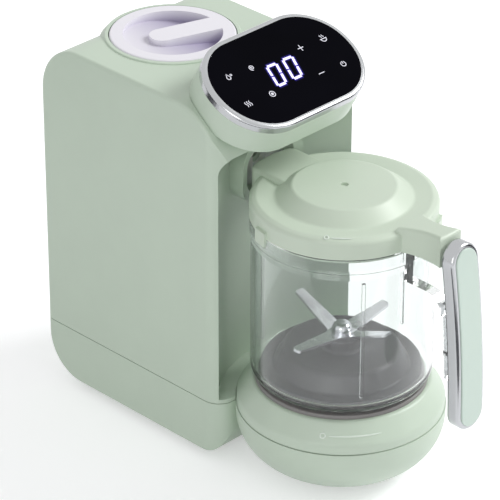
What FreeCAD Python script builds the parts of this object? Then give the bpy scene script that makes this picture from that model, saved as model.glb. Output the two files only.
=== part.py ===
"""Baby food maker: a steamer and blender with a clear jug, a water tank and a tilted touch panel.

Lengths are millimetres and angles degrees.  The pieces are laid out from the jug's upright axis
(x = y = 0), with the floor at z = 0 and the front towards -Y.  At export everything moves along Y,
so that the origin lies on the floor under the middle of the whole object.
"""
import FreeCAD
import Part
import math
import os

V = FreeCAD.Vector
UP = V(0, 0, 1)
BACK = V(0, 1, 0)
ACROSS = V(1, 0, 0)

# Clearances
GAP = 0.3                  # between pieces that move past each other
RUN = 0.05                 # radial room of a shaft in its bush
SNUG = 0.1                 # between pieces that are fastened together
SEAM = 0.5                 # shadow line where two mouldings meet

# Column and base tray
WALL = 2.5
PART_Z = 42.0              # height of the seam between tray and column
COL_HALF_W = 60.5
COL_FRONT = 44.0
COL_REAR = 197.0
COL_TOP = 238.0
COL_CORNER_R = 12.0
COL_FRONT_ROLL_R = 37.0
COL_REAR_ROLL_R = 33.0
COL_CREASE_R = 2.5         # along the edges of the flat sides
TRAY_FRONT_ROLL_R = 16.0
TRAY_REAR_ROLL_R = 28.0
NICHE_R = 74.4
NICHE_TOP = 208.0
NICHE_ROUND_R = 10.0
FOOT_H = 5.0
FOOT_R = 9.0
FOOT_TAPER = 1.2
FOOT_STEM_R = 3.0
FOOT_X = 43.0
FOOT_FRONT_Y = 90.0
FOOT_REAR_Y = 158.0
FOOT_PEDESTAL_Y = -20.0
VENT_COUNT = 7
VENT_PITCH = 7.0
VENT_W = 3.0
VENT_LENGTH = 36.0
VENT_END_R = 1.2

# Screws and the bosses that take them
SCREW_R = 1.45
SCREW_HEAD_R = 3.0
SCREW_HEAD_H = 2.0
BOSS_R = 4.6
HEAD_ROOM = 0.4
TRAY_SCREW_FRONT_Y = 72.0
TRAY_SCREW_REAR_Y = 166.0
TRAY_SCREW_DEPTH = 7.0     # from the tray's underside to the screw head's seat
TRAY_SCREW_GRIP = 18.0     # thread length in the boss above the seam

# Pedestal
BOWL_R = 64.0
BOWL_ROUND_R = 32.0
COVER_INSET = 0.6          # the cover's wall stands this far inside the bowl's
COVER_SHOULDER_Z = 48.0
PLATFORM_R = 54.5
PLATFORM_Z = 60.0
PLATFORM_STEP = 1.5
COVER_SHOULDER_R = 5.0
PLATFORM_EDGE_R = 3.0
COVER_SCREW_R = 40.0       # radius of the circle the cover's screws stand on

# Jug seat ring
SEAT_IN_R = 40.0
SEAT_OUT_R = 52.5
SEAT_H = 2.5
SOFT_EDGE_R = 0.8          # small roundings on rings and discs

# Drive under the jug
SPINDLE_R = 4.0
SPINDLE_BUSH_R = 7.0
SPINDLE_BUSH_H = 6.0
SPINDLE_HUB_R = 11.0
SPINDLE_HUB_LOW = 38.0
SPINDLE_PULLEY_R = 22.0
MOTOR_PULLEY_R = 11.0
PULLEY_FLANGE = 2.5
PULLEY_FLANGE_H = 1.5
BELT_LOW = 23.0
BELT_H = 8.0
BELT_T = 1.6
COUPLING_R = 12.0
COUPLING_H = 3.0
DOG_IN_R = 5.0
DOG_H = 3.7
DOG_ANGLE = 36.0

# Motor
MOTOR_Y = 108.0
MOTOR_R = 24.0
MOTOR_H = 58.0
MOTOR_CAN_T = 1.5
MOTOR_CAP_H = 4.0
MAGNET_T = 3.5
ARMATURE_H = 38.0
AIR_GAP = 0.8
MOTOR_SHAFT_R = 3.0
BRACKET_T = 3.0
BRACKET_HALF_X = 40.0
BRACKET_HALF_Y = 29.0
BRACKET_SCREW_INSET = 6.0

# Jug
JUG_R = 55.2
JUG_WALL = 2.8
JUG_FOOT_IN_R = 34.0
JUG_ROUND_R = 8.0
JUG_FLOOR_RISE = 4.2       # from the jug's foot to the floor inside
JUG_FLOOR_T = 3.0
JUG_HUB_R = 38.0
JUG_HUB_RISE = 15.0
HUB_EDGE_R = 2.0
JUG_BAND_LOW = 160.8
JUG_BAND_TOP = 170.0
JUG_BAND_R = 56.0
JUG_NECK_R = 53.0
JUG_NECK_TOP = 178.0
JUG_RIB_W = 2.0
JUG_RIB_D = 1.6
JUG_RIB_ANGLE = 236.0
JUG_RIB_COUNT = 3

# Handle
HANDLE_TOP = (-93.5, 187.0)    # outer face of the handle, as (y, z)
HANDLE_MID = (-100.8, 130.0)
HANDLE_LOW = (-103.6, 67.0)
HANDLE_HALF_W = 11.5
HANDLE_DEPTH = 9.5
HANDLE_EDGE_R = 2.2
GRIP_INSET = 2.6
GRIP_DEPTH = 3.0
GRIP_PROUD = 0.8
GRIP_EDGE_R = 0.6
ARM_HALF_W = 7.0
ARM_LOW = 150.0
ARM_FINGER_R = 12.0
LINER_T = 6.0
LINER_LOW = 98.0

# Blade unit in the jug's floor
BLADE_BASE_R = 49.0
BLADE_BASE_T = 2.2
BLADE_BOSS_R = 12.0
BLADE_BOSS_TOP = 89.0
BLADE_BUSH_R = 8.0
BLADE_SHAFT_R = 3.0
BLADE_SEAL_T = 1.0
BLADE_REACH = 40.0
BLADE_T = 1.6
BLADE_ROOT_W = 11.0
BLADE_TIP_W = 6.0
BLADE_TIP_R = 2.6
BLADE_HUB_R = 9.0
BLADE_HUB_LAP = 2.2        # how far a wing's root reaches into the hub
BLADE_RISE = 24.0
BLADE_LOW_RISE = 6.0
BLADE_CAP_R = 6.0
BLADE_CAP_H = 6.0
BLADE_CAP_ROUND_R = 4.2
NUT_R = 13.0
NUT_H = 2.7

# Jug lid
LID_R = 56.1
LID_LOW = 170.6
LID_EDGE_Z = 181.8
LID_RIDGE_R = 52.0
LID_RIDGE_Z = 183.6
LID_TROUGH_R = 41.0
LID_TROUGH_Z = 182.4
LID_DISC_R = 31.0
LID_TOP = 189.9
LID_WALL = 2.4
LID_SOFT_R = 3.0
LID_PLUG_R = 49.2
LID_PLUG_LOW = 166.0
LID_DIMPLE_R = 2.4
LID_DIMPLE_DEPTH = 1.4
LOBE_R = 63.0
LOBE_HALF_W = 18.4
LOBE_TOP = 186.0
LOBE_CORNER_R = 6.0
LOBE_EDGE_R = 2.4
LOBE_BORE_R = 2.2
LOBE_BORE_Z = 181.4
TONGUE_ROOT_TOP = 186.0
TONGUE_END_TOP = 190.0
TONGUE_ROOT_HALF_W = 12.0
TONGUE_WAIST_HALF_W = 7.5
TONGUE_END_HALF_W = 9.5
TONGUE_EDGE_R = 2.0
TAB_T = 1.8
TAB_DROP = 4.5
TAB_W = 10.0
TAB_ANGLES = (165.0, 300.0)
SEAL_GROOVE = 1.5
SEAL_H = 3.0

# Interlock under the jug's foot
INTERLOCK_R = 37.0         # distance of the pin from the jug's axis
INTERLOCK_ANGLE = 225.0
PIN_R = 2.0
PIN_FLANGE_R = 3.6
PIN_FLANGE_H = 1.4
PIN_TRAVEL = 2.0
SWITCH_TOP = 50.0
SWITCH_H = 9.0
SWITCH_L = 18.0
SWITCH_W = 8.0
SPRING_WIRE_R = 0.35

# Water tank
TANK_Y = 143.6
TANK_R = 36.0
TANK_WALL = 1.2
TANK_LOW = 134.0
TANK_FLANGE_Z = 226.0
TANK_FLANGE_T = 2.0
TANK_SCREW_OFFSET = 2.8    # from the lid's hole to the screws' circle
TANK_FLANGE_EDGE = 4.5     # from the screws' circle to the flange's rim
TANK_COLLAR_FLARE = 3.0    # the collar's foot is wider and lower by this
TANK_COLLAR_RISE = 0.9
TANK_CORNER_R = 5.0
TANK_SPIGOT_Z = 212.0
SPIGOT_R = 4.0
SPIGOT_BORE_R = 2.8
SPIGOT_L = 5.0
HEATER_R = 34.0
HEATER_T = 4.0
ELEMENT_R = 3.6
ELEMENT_RING_R = 25.0
ELEMENT_OPENING = 50.0
THERMOSTAT_R = 8.0
THERMOSTAT_H = 7.0
LUG_W = 4.8                # push-on lugs for the wires
LUG_T = 0.8
LUG_L = 6.0

# Tank lid
TANK_LID_R = 38.7
TANK_LID_RISE = 1.3        # rim above the column's top
TANK_LID_PLUG_R = 33.4
TANK_LID_PLUG_H = 12.0
TANK_LID_DISH_R = 30.5
TANK_LID_DISH_DEEP = 9.0
TANK_LID_DISH_SLOPE = 7.0
TANK_LID_BAR_HALF_W = 8.5
TANK_LID_BAR_END = -15.0
TANK_LID_BAR_END_R = 8.3
TANK_LID_EDGE_R = 1.2
TANK_LID_TURN = -18.0

# Steam port and hose
PORT_HALF_W = 26.0
PORT_LOW = 160.0
PORT_TOP = 198.0
PORT_CORNER_R = 15.0
PORT_FRONT_R = 63.7
PORT_RIM = 6.0
PORT_BACK_Y = 78.0
PORT_BACK_T = 3.5
PORT_SPIGOT_Z = 183.0
GASKET_T = 4.5
GASKET_BORE_R = 6.0
HOSE_WALL = 1.8
HOSE_BEND_R = 9.0

# Control pod
POD_Y = 49.2               # centre of the glass
POD_Z = 247.4
POD_TILT = 28.0
POD_T = 22.0
POD_WALL = 2.2
GLASS_HALF_L = 53.2
GLASS_HALF_H = 31.3
GLASS_CORNER_R = 30.4
GLASS_T = 2.5
BEZEL_W = 3.3
BEZEL_H = 5.0
BEZEL_LEDGE = 1.8
BEZEL_PROUD = 0.4
BEZEL_EDGE_R = 2.0
BOARD_T = 1.6
BOARD_DEPTH = 8.0          # from the glass's face down to the board's top
BOARD_INSET = 5.0
BOARD_POST_U = 42.0
BOARD_POST_V = 14.0
DISPLAY_HALF_L = 16.0
DISPLAY_HALF_H = 10.0
KEY_SPRING_R = 3.0
KEY_SPRING_T = 0.8
KEY_COLUMNS = (-39.0, -20.0, 20.0, 39.0)
KEY_ROWS = (-11.5, 9.5)
SADDLE_INSET = 3.0
SADDLE_DEPTH = 20.0
SADDLE_FRONT_Y = 55.0
POD_SCREW_U = 30.0
POD_SCREW_V = 9.0
POD_SCREW_L = 11.0
WIRE_HOLE_R = 6.0

# Power board, wiring and the lead's gland
POWER_BOARD_HALF_W = 40.0
POWER_BOARD_LOW = 62.0
POWER_BOARD_H = 58.0
POWER_BOARD_STAND = 5.0
POWER_POST_INSET = 6.0
RELAY_SIZE = (19.0, 15.0, 15.0)
RELAY_PLACE = (-26.0, 10.0)        # across, and up from the board's lower edge
CAPACITOR_R = 7.0
CAPACITOR_L = 16.0
CAPACITOR_PLACE = (4.0, 16.0)
TRANSFORMER_SIZE = (22.0, 17.0, 18.0)
TRANSFORMER_PLACE = (-8.0, 32.0)
LOOM_R = 2.4
LOOM_START_X = 30.0
LOOM_START_Z = 108.0
LOOM_STUB = 16.0
LOOM_RISE_Z = 130.0
LOOM_TURN_Z = 190.0
LOOM_FRONT_Y = 110.0
LOOM_TOP_Z = 216.0
LOOM_BEND_SHARE = 0.45         # share of the shorter run that a bend may use
GLAND_X = 36.0
GLAND_Z = 53.0
GLAND_HALF_W = 12.0            # of the plate that slides up into a slot in the rear wall
GLAND_RISE = 7.0               # from the lead's axis to the plate's top
GLAND_CORNER_R = 2.0
GLAND_LIP_W = 1.8              # by which the flanges on both sides of the wall reach past the slot
GLAND_OUTER_LIP = 1.5
GLAND_INNER_LIP = 3.0
GLAND_BORE_R = 3.6

# Levels and radii that follow from the sizes above
COVER_R = BOWL_R - COVER_INSET
SEAT_LOW = PLATFORM_Z + SNUG
JUG_LOW = SEAT_LOW + SEAT_H + GAP
JUG_FLOOR = JUG_LOW + JUG_FLOOR_RISE
JUG_HUB_TOP = JUG_LOW + JUG_HUB_RISE
JUG_HUB_LOW = JUG_HUB_TOP - JUG_FLOOR_T
JUG_IN_R = JUG_R - JUG_WALL
NECK_IN_R = JUG_NECK_R - JUG_WALL
STEP_Z = PLATFORM_Z + PLATFORM_STEP
COUPLING_LOW = STEP_Z + SEAM
DRIVE_DISC_TOP = COUPLING_LOW + COUPLING_H
DRIVEN_DISC_LOW = DRIVE_DISC_TOP + DOG_H + GAP
BRACKET_LOW = PART_Z - SEAM / 2
MOTOR_LOW = BRACKET_LOW + BRACKET_T
MOTOR_TOP = MOTOR_LOW + MOTOR_H
TANK_RIM_Z = COL_TOP - WALL
TANK_IN_R = TANK_R - TANK_WALL
LID_SKIRT_IN_R = JUG_NECK_R + 2 * SNUG + GAP
LID_UNDER = LID_TROUGH_Z - LID_WALL
TONGUE_R = -HANDLE_TOP[0] - HANDLE_DEPTH - 2 * GAP
TANK_SEAT_Z = TANK_FLANGE_Z + TANK_FLANGE_T + SNUG
TANK_HOLE_R = TANK_LID_R + SEAM
TANK_COLLAR_R = TANK_HOLE_R + WALL
TANK_SCREW_R = TANK_HOLE_R + TANK_SCREW_OFFSET
TANK_FLANGE_R = TANK_SCREW_R + TANK_FLANGE_EDGE
POWER_BOARD_FACE = COL_REAR - WALL - POWER_BOARD_STAND


def outline(corners, place):
    """Flat face bounded by straight edges, each corner (a, b, radius) rounded by its own radius."""
    marks = []
    for i, corner in enumerate(corners):
        radius = corner[2] if len(corner) > 2 else 0
        tip = V(corner[0], corner[1], 0)
        if radius <= 0:
            marks.append((tip, None, tip))
            continue
        before = corners[i - 1]
        after = corners[(i + 1) % len(corners)]
        to_before = (V(before[0], before[1], 0) - tip).normalize()
        to_after = (V(after[0], after[1], 0) - tip).normalize()
        half = to_before.getAngle(to_after) / 2
        reach = radius / math.tan(half)
        middle = tip + (to_before + to_after).normalize() * (radius / math.sin(half) - radius)
        marks.append((tip + to_before * reach, middle, tip + to_after * reach))
    edges = []
    for i, (start, middle, end) in enumerate(marks):
        if middle is not None:
            points = [place(p.x, p.y) for p in (start, middle, end)]
            edges.append(Part.Arc(*points).toShape())
        onward = marks[(i + 1) % len(marks)][0]
        if (onward - end).Length > 1e-6:
            edges.append(Part.LineSegment(place(end.x, end.y), place(onward.x, onward.y)).toShape())
    return Part.Face(Part.Wire(edges))


def prism_x(corners, half_width):
    """Outline in (y, z) carried across X, even about x = 0."""
    face = outline(corners, lambda a, b: V(-half_width, a, b))
    return face.extrude(ACROSS * (2 * half_width))


def prism_y(corners, low, high):
    """Outline in (x, z) carried along Y."""
    return outline(corners, lambda a, b: V(a, low, b)).extrude(BACK * (high - low))


def prism_z(corners, low, high):
    """Outline in (x, y) carried upwards."""
    return outline(corners, lambda a, b: V(a, b, low)).extrude(UP * (high - low))


def turned(corners, y=0.0):
    """Outline in (radius, z) turned round an upright axis at the given y."""
    face = outline(corners, lambda a, b: V(a, y, b))
    return face.revolve(V(0, y, 0), UP, 360)


def rod(radius, low, high, x=0.0, y=0.0):
    """Upright cylinder."""
    return Part.makeCylinder(radius, high - low, V(x, y, low), UP)


def ring(outer, inner, low, high, x=0.0, y=0.0):
    """Upright tube."""
    return rod(outer, low, high, x, y).cut(rod(inner, low - 1, high + 1, x, y))


def rounded_box(half_x, y_low, y_high, radius):
    """Corners of a rounded rectangle in plan, even about x = 0."""
    return [(-half_x, y_low, radius), (half_x, y_low, radius),
            (half_x, y_high, radius), (-half_x, y_high, radius)]


def fused(shapes):
    """One solid from shapes that overlap."""
    return shapes[0].multiFuse(shapes[1:]).removeSplitter()


def polar(radius, angle):
    """Place on a circle about the jug's axis, as (x, y)."""
    return radius * math.cos(math.radians(angle)), radius * math.sin(math.radians(angle))


def screw(seat, direction, length):
    """Pan-head screw: head on the seat point, thread running along the direction."""
    head = Part.makeCylinder(SCREW_HEAD_R, SCREW_HEAD_H, seat, direction * -1)
    thread = Part.makeCylinder(SCREW_R, length, seat, direction)
    return fused([head, thread])


def pipe(points, bends, radius):
    """Round bar along straight runs joined by tangent arcs, one bend radius for each inner point."""
    edges = []
    last = points[0]
    for before, corner, after, bend in zip(points, points[1:], points[2:], bends):
        to_before = (before - corner).normalize()
        to_after = (after - corner).normalize()
        half = to_before.getAngle(to_after) / 2
        reach = bend / math.tan(half)
        middle = corner + (to_before + to_after).normalize() * (bend / math.sin(half) - bend)
        start = corner + to_before * reach
        end = corner + to_after * reach
        edges.append(Part.LineSegment(last, start).toShape())
        edges.append(Part.Arc(start, middle, end).toShape())
        last = end
    edges.append(Part.LineSegment(last, points[-1]).toShape())
    path = Part.Wire(edges)
    section = Part.Wire([Part.makeCircle(radius, points[0], points[1] - points[0])])
    return path.makePipeShell([section], True, False), path.Length


# Housing

def housing_block(corners, inset, open_z):
    """Side outline run across X, with the edges of its flat sides rounded, trimmed by the column's plan."""
    half = COL_HALF_W - inset
    block = prism_x(corners, half)
    if inset == 0:
        rims = []
        for edge in block.Edges:
            box = edge.BoundBox
            at_open_end = box.ZLength < 0.01 and abs(box.ZMin - open_z) < 0.01
            if box.XLength < 0.01 and not at_open_end:
                rims.append(edge)
        block = block.makeFillet(COL_CREASE_R, rims)
    front = COL_FRONT + inset
    front_r = COL_CORNER_R - inset
    rear = COL_REAR + COL_CORNER_R
    plan = [(-half, front, front_r), (half, front, front_r), (half, rear), (-half, rear)]
    return block.common(prism_z(plan, 0, 2 * COL_TOP)).Solids[0]


def column_block(inset):
    """Upper housing as a solid, drawn in by an inset."""
    low = PART_Z + (SEAM / 2 if inset == 0 else -SEAM)
    front = COL_FRONT + inset
    rear = COL_REAR - inset
    top = COL_TOP - inset
    corners = [(front, low), (rear, low), (rear, top, COL_REAR_ROLL_R - inset),
               (front, top, COL_FRONT_ROLL_R - inset)]
    return housing_block(corners, inset, low)


def tray_block(inset):
    """Lower housing under the column as a solid, drawn in by an inset."""
    high = PART_Z - (SEAM / 2 if inset == 0 else -SEAM)
    front = COL_FRONT + inset
    rear = COL_REAR - inset
    low = FOOT_H + inset
    corners = [(front, low, TRAY_FRONT_ROLL_R - inset), (rear, low, TRAY_REAR_ROLL_R - inset),
               (rear, high), (front, high)]
    return housing_block(corners, inset, high)


def bowl_block(inset):
    """Lower bowl of the pedestal as a solid, drawn in by an inset."""
    high = PART_Z - (SEAM / 2 if inset == 0 else -SEAM)
    low = FOOT_H + inset
    radius = BOWL_R - inset
    return turned([(0, low), (radius, low, BOWL_ROUND_R - inset), (radius, high), (0, high)])


def niche_block(extra):
    """Round bay in the column's front that the jug stands in."""
    bay = rod(NICHE_R + extra, PART_Z - 2 * WALL, NICHE_TOP + extra)
    rim = [edge for edge in bay.Edges if edge.BoundBox.ZMin > NICHE_TOP - 1]
    return bay.makeFillet(NICHE_ROUND_R + extra, rim)


def pod_place(shape):
    """Move a piece from the panel's own axes (across, up the slope, outwards) to its place."""
    shape.Placement = FreeCAD.Placement(V(0, POD_Y, POD_Z), FreeCAD.Rotation(ACROSS, POD_TILT))
    return shape


def pod_prism(grow, low, high):
    """Stadium of the glass, grown all round, between two heights along the panel's normal."""
    length = GLASS_HALF_L + grow
    height = GLASS_HALF_H + grow
    corners = rounded_box(length, -height, height, GLASS_CORNER_R + grow)
    return pod_place(prism_z(corners, low, high))


def pod_rod(radius, u, v, low, high):
    """Cylinder along the panel's normal."""
    return pod_place(rod(radius, low, high, u, v))


def saddle_block(inset):
    """Raised seat under the pod's rear half, drawn in by an inset."""
    high = -POD_T - SNUG - inset
    shape = pod_prism(BEZEL_W - SADDLE_INSET - inset, high - SADDLE_DEPTH, high)
    reach = 2 * GLASS_HALF_L
    behind = Part.makeBox(2 * reach, reach, 2 * COL_TOP, V(-reach, SADDLE_FRONT_Y + inset, 0))
    return shape.common(behind)


def port_outline(shrink):
    """Rounded rectangle of the steam port in (x, z), drawn in by shrink."""
    half = PORT_HALF_W - shrink
    low = PORT_LOW + shrink
    high = PORT_TOP - shrink
    return [(-half, low, PORT_CORNER_R - shrink), (half, low, PORT_CORNER_R - shrink),
            (half, high, PORT_CORNER_R - shrink), (-half, high, PORT_CORNER_R - shrink)]


def gland_outline(grow, low):
    """Plate of the lead's gland in (x, z), open-ended at low and grown by grow at sides and top."""
    half = GLAND_HALF_W + grow
    high = GLAND_Z + GLAND_RISE + grow
    corner = GLAND_CORNER_R + grow
    return [(GLAND_X - half, low), (GLAND_X + half, low),
            (GLAND_X + half, high, corner), (GLAND_X - half, high, corner)]


def tray_screw_places():
    """Screws that hold the column to the tray, beside the side walls."""
    x = COL_HALF_W - WALL - BOSS_R + SEAM
    return [(sx * x, y) for sx in (-1, 1) for y in (TRAY_SCREW_FRONT_Y, TRAY_SCREW_REAR_Y)]


def cover_screw_places():
    """Screws that hold the pedestal's cover to the tray."""
    return [polar(COVER_SCREW_R, angle) for angle in (30, 150, 270)]


def bracket_screw_places():
    """Corners of the motor bracket."""
    x = BRACKET_HALF_X - BRACKET_SCREW_INSET
    y = BRACKET_HALF_Y - BRACKET_SCREW_INSET
    return [(sx * x, MOTOR_Y + sy * y) for sx in (-1, 1) for sy in (-1, 1)]


def tank_screw_places():
    """Screws in the tank's flange, even round its axis."""
    spots = [polar(TANK_SCREW_R, angle) for angle in (30, 150, 270)]
    return [(x, TANK_Y + y) for x, y in spots]


def foot_places():
    """Four feet under the column and one under the pedestal."""
    column = [(sx * FOOT_X, y) for sx in (-1, 1) for y in (FOOT_FRONT_Y, FOOT_REAR_Y)]
    return column + [(0.0, FOOT_PEDESTAL_Y)]


def power_post_places():
    """Standoffs of the power board on the column's rear wall, as (x, z)."""
    x = POWER_BOARD_HALF_W - POWER_POST_INSET
    low = POWER_BOARD_LOW + POWER_POST_INSET
    high = POWER_BOARD_LOW + POWER_BOARD_H - POWER_POST_INSET
    return [(sx * x, z) for sx in (-1, 1) for z in (low, high)]


def pod_screw_places():
    """Screws that hold the pod to its saddle, on the panel's own axes."""
    return [(-POD_SCREW_U, POD_SCREW_V), (POD_SCREW_U, POD_SCREW_V)]


def make_base_tray():
    """Lower shell under column and pedestal, with screw bosses, bracket posts, foot holes and vents."""
    outer = fused([tray_block(0), bowl_block(0)])
    shell = outer.cut(tray_block(WALL)).cut(bowl_block(WALL))
    low_places = tray_screw_places() + cover_screw_places()
    bosses = [rod(BOSS_R, FOOT_H, PART_Z - SEAM / 2, x, y) for x, y in low_places]
    posts = [rod(BOSS_R, FOOT_H, BRACKET_LOW, x, y) for x, y in bracket_screw_places()]
    solid = fused([shell] + [post.common(outer) for post in bosses + posts])
    head_top = FOOT_H + TRAY_SCREW_DEPTH
    cuts = []
    for x, y in low_places:
        cuts.append(rod(SCREW_HEAD_R + HEAD_ROOM, 0, head_top, x, y))
        cuts.append(rod(SCREW_R + HEAD_ROOM, 0, PART_Z, x, y))
    for x, y in bracket_screw_places():
        cuts.append(rod(SCREW_R + RUN, FOOT_H + WALL, PART_Z, x, y))
    for x, y in foot_places():
        cuts.append(rod(FOOT_STEM_R + RUN, 0, FOOT_H + WALL + 1, x, y))
    for i in range(VENT_COUNT):
        x = (i - (VENT_COUNT - 1) / 2) * VENT_PITCH
        corners = rounded_box(VENT_W / 2, MOTOR_Y - VENT_LENGTH / 2, MOTOR_Y + VENT_LENGTH / 2, VENT_END_R)
        slot = prism_z(corners, 0, FOOT_H + WALL + 1)
        slot.translate(ACROSS * x)
        cuts.append(slot)
    return solid.cut(cuts[0].multiFuse(cuts[1:]))


def tank_collar():
    """Raised ring round the tank's mouth, with a wider foot that runs into the column's top."""
    foot = TANK_COLLAR_R + TANK_COLLAR_FLARE
    top = COL_TOP + TANK_COLLAR_RISE
    return turned([(TANK_HOLE_R, TANK_SEAT_Z), (foot, TANK_SEAT_Z), (foot, COL_TOP - TANK_COLLAR_FLARE),
                   (TANK_COLLAR_R, COL_TOP), (TANK_COLLAR_R, top, SOFT_EDGE_R), (TANK_HOLE_R, top)], TANK_Y)


def bay_floor():
    """Shelf at the foot of the bay, between the pedestal's cover and the bay's wall."""
    low = PART_Z + SEAM / 2
    return ring(NICHE_R + WALL, COVER_R + SEAM, low, low + WALL).common(column_block(0))


def make_column_shell():
    """Upper housing: hollow column with the jug's bay, the tank's collar and the saddle for the pod."""
    outer = fused([column_block(0), saddle_block(0)])
    outer = outer.cut(niche_block(0)).cut(pod_prism(BEZEL_W + GAP, -POD_T - SNUG, POD_T))
    hollow = column_block(WALL).cut(niche_block(WALL))
    shell = outer.cut(hollow).cut(saddle_block(WALL))
    bosses = [rod(BOSS_R, PART_Z + SEAM / 2, PART_Z + TRAY_SCREW_GRIP + WALL, x, y)
              for x, y in tray_screw_places()]
    bosses += [rod(BOSS_R, TANK_SEAT_Z, COL_TOP, x, y) for x, y in tank_screw_places()]
    rear_face = COL_REAR - WALL
    for x, z in power_post_places():
        post = Part.makeCylinder(BOSS_R, POWER_BOARD_STAND + WALL / 2, V(x, rear_face + WALL / 2, z), -BACK)
        bosses.append(post)
    for u, v in pod_screw_places():
        bosses.append(pod_rod(BOSS_R, u, v, -POD_T - SNUG - POD_SCREW_L, -POD_T - SNUG))
    solid = fused([shell, bay_floor(), tank_collar()] + [boss.common(outer) for boss in bosses])
    cuts = [rod(TANK_HOLE_R, TANK_SEAT_Z - SNUG, COL_TOP + WALL, 0, TANK_Y)]
    cuts.append(prism_y(port_outline(-SNUG), COL_FRONT, PORT_BACK_Y + WALL))
    cuts.append(pod_rod(WIRE_HOLE_R, 0, 0, -POD_T - SADDLE_DEPTH, 0))
    cuts.append(prism_y(gland_outline(SNUG, PART_Z), rear_face - WALL, COL_REAR + WALL))
    for x, y in tray_screw_places():
        cuts.append(rod(SCREW_R + RUN, PART_Z, PART_Z + TRAY_SCREW_GRIP, x, y))
    for x, y in tank_screw_places():
        cuts.append(rod(SCREW_R + RUN, TANK_FLANGE_Z, COL_TOP - WALL, x, y))
    for x, z in power_post_places():
        cuts.append(Part.makeCylinder(SCREW_R + RUN, POWER_BOARD_STAND, V(x, rear_face, z), -BACK))
    for u, v in pod_screw_places():
        cuts.append(pod_rod(SCREW_R + RUN, u, v, -POD_T - POD_SCREW_L, 0))
    return solid.cut(cuts[0].multiFuse(cuts[1:]))


def make_feet():
    """Rubber feet, each a tapered pad with a stem pressed into the tray."""
    pads = []
    for x, y in foot_places():
        pad = Part.makeCone(FOOT_R - FOOT_TAPER, FOOT_R, FOOT_H, V(x, y, 0), UP)
        pads.append(fused([pad, rod(FOOT_STEM_R, FOOT_H - 1, FOOT_H + WALL, x, y)]))
    return pads


def make_tray_screws():
    """Screws from below through the tray into the column."""
    seat = FOOT_H + TRAY_SCREW_DEPTH
    length = PART_Z + TRAY_SCREW_GRIP - seat - 1
    return [screw(V(x, y, seat), UP, length) for x, y in tray_screw_places()]


# Pedestal and jug seat

def make_pedestal_cover():
    """Top of the pedestal: cone and platform, with the spindle's hub, screw posts and the switch wall."""
    low = PART_Z + SEAM / 2
    skin = turned([
        (SPINDLE_BUSH_R + RUN, SPINDLE_HUB_LOW), (SPINDLE_HUB_R, SPINDLE_HUB_LOW),
        (SPINDLE_HUB_R, STEP_Z - WALL), (SEAT_IN_R - GAP - WALL, STEP_Z - WALL),
        (SEAT_IN_R - GAP - WALL, PLATFORM_Z - WALL), (PLATFORM_R - WALL / 2, PLATFORM_Z - WALL),
        (COVER_R - WALL, COVER_SHOULDER_Z - WALL / 2, COVER_SHOULDER_R - WALL), (COVER_R - WALL, low),
        (COVER_R, low), (COVER_R, COVER_SHOULDER_Z, COVER_SHOULDER_R),
        (PLATFORM_R, PLATFORM_Z, PLATFORM_EDGE_R), (SEAT_IN_R - GAP, PLATFORM_Z),
        (SEAT_IN_R - GAP, STEP_Z, SOFT_EDGE_R), (SPINDLE_BUSH_R + RUN, STEP_Z)])
    posts = [rod(BOSS_R, PART_Z - SEAM / 2, PLATFORM_Z - WALL / 2, x, y) for x, y in cover_screw_places()]
    x, y = polar(INTERLOCK_R, INTERLOCK_ANGLE)
    wall = Part.makeBox(SWITCH_L, WALL, PLATFORM_Z - SWITCH_TOP + SWITCH_H,
                        V(x - SWITCH_L / 2, y + SWITCH_W / 2, SWITCH_TOP - SWITCH_H))
    solid = fused([skin, wall] + posts)
    cuts = [rod(PIN_R + RUN, SWITCH_TOP, STEP_Z + 1, x, y)]
    for px, py in cover_screw_places():
        cuts.append(rod(SCREW_R + RUN, 0, PLATFORM_Z - WALL, px, py))
    return solid.cut(cuts[0].multiFuse(cuts[1:]))


def make_cover_screws():
    """Screws from below through the tray into the pedestal's cover."""
    seat = FOOT_H + TRAY_SCREW_DEPTH
    length = PLATFORM_Z - WALL - seat - 1
    return [screw(V(x, y, seat), UP, length) for x, y in cover_screw_places()]


def make_jug_seat_ring():
    """Dark slip ring that lies on the platform and turns with the jug."""
    high = SEAT_LOW + SEAT_H
    return turned([(SEAT_IN_R, SEAT_LOW), (SEAT_OUT_R, SEAT_LOW), (SEAT_OUT_R, high, SOFT_EDGE_R),
                   (SEAT_IN_R, high, SOFT_EDGE_R)])


# Drive

def pulley(radius, bore, y):
    """Flat belt pulley with a flange above and below the belt."""
    core = radius - GAP
    low = BELT_LOW - GAP
    high = BELT_LOW + BELT_H + GAP
    rim = core + PULLEY_FLANGE
    return turned([(bore, low - PULLEY_FLANGE_H), (rim, low - PULLEY_FLANGE_H), (rim, low), (core, low),
                   (core, high), (rim, high), (rim, high + PULLEY_FLANGE_H),
                   (bore, high + PULLEY_FLANGE_H)], y)


def belt_loop(grow):
    """Area inside an open belt round both pulleys, grown outwards."""
    small = MOTOR_PULLEY_R + grow
    large = SPINDLE_PULLEY_R + grow
    lean = (large - small) / MOTOR_Y
    side = math.sqrt(1 - lean * lean)
    near = V(large * side, large * lean, BELT_LOW)
    far = V(small * side, MOTOR_Y + small * lean, BELT_LOW)
    near_left = V(-near.x, near.y, near.z)
    far_left = V(-far.x, far.y, far.z)
    edges = [Part.LineSegment(near, far).toShape(),
             Part.Arc(far, V(0, MOTOR_Y + small, BELT_LOW), far_left).toShape(),
             Part.LineSegment(far_left, near_left).toShape(),
             Part.Arc(near_left, V(0, -large, BELT_LOW), near).toShape()]
    return Part.Face(Part.Wire(edges)).extrude(UP * BELT_H)


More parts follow.
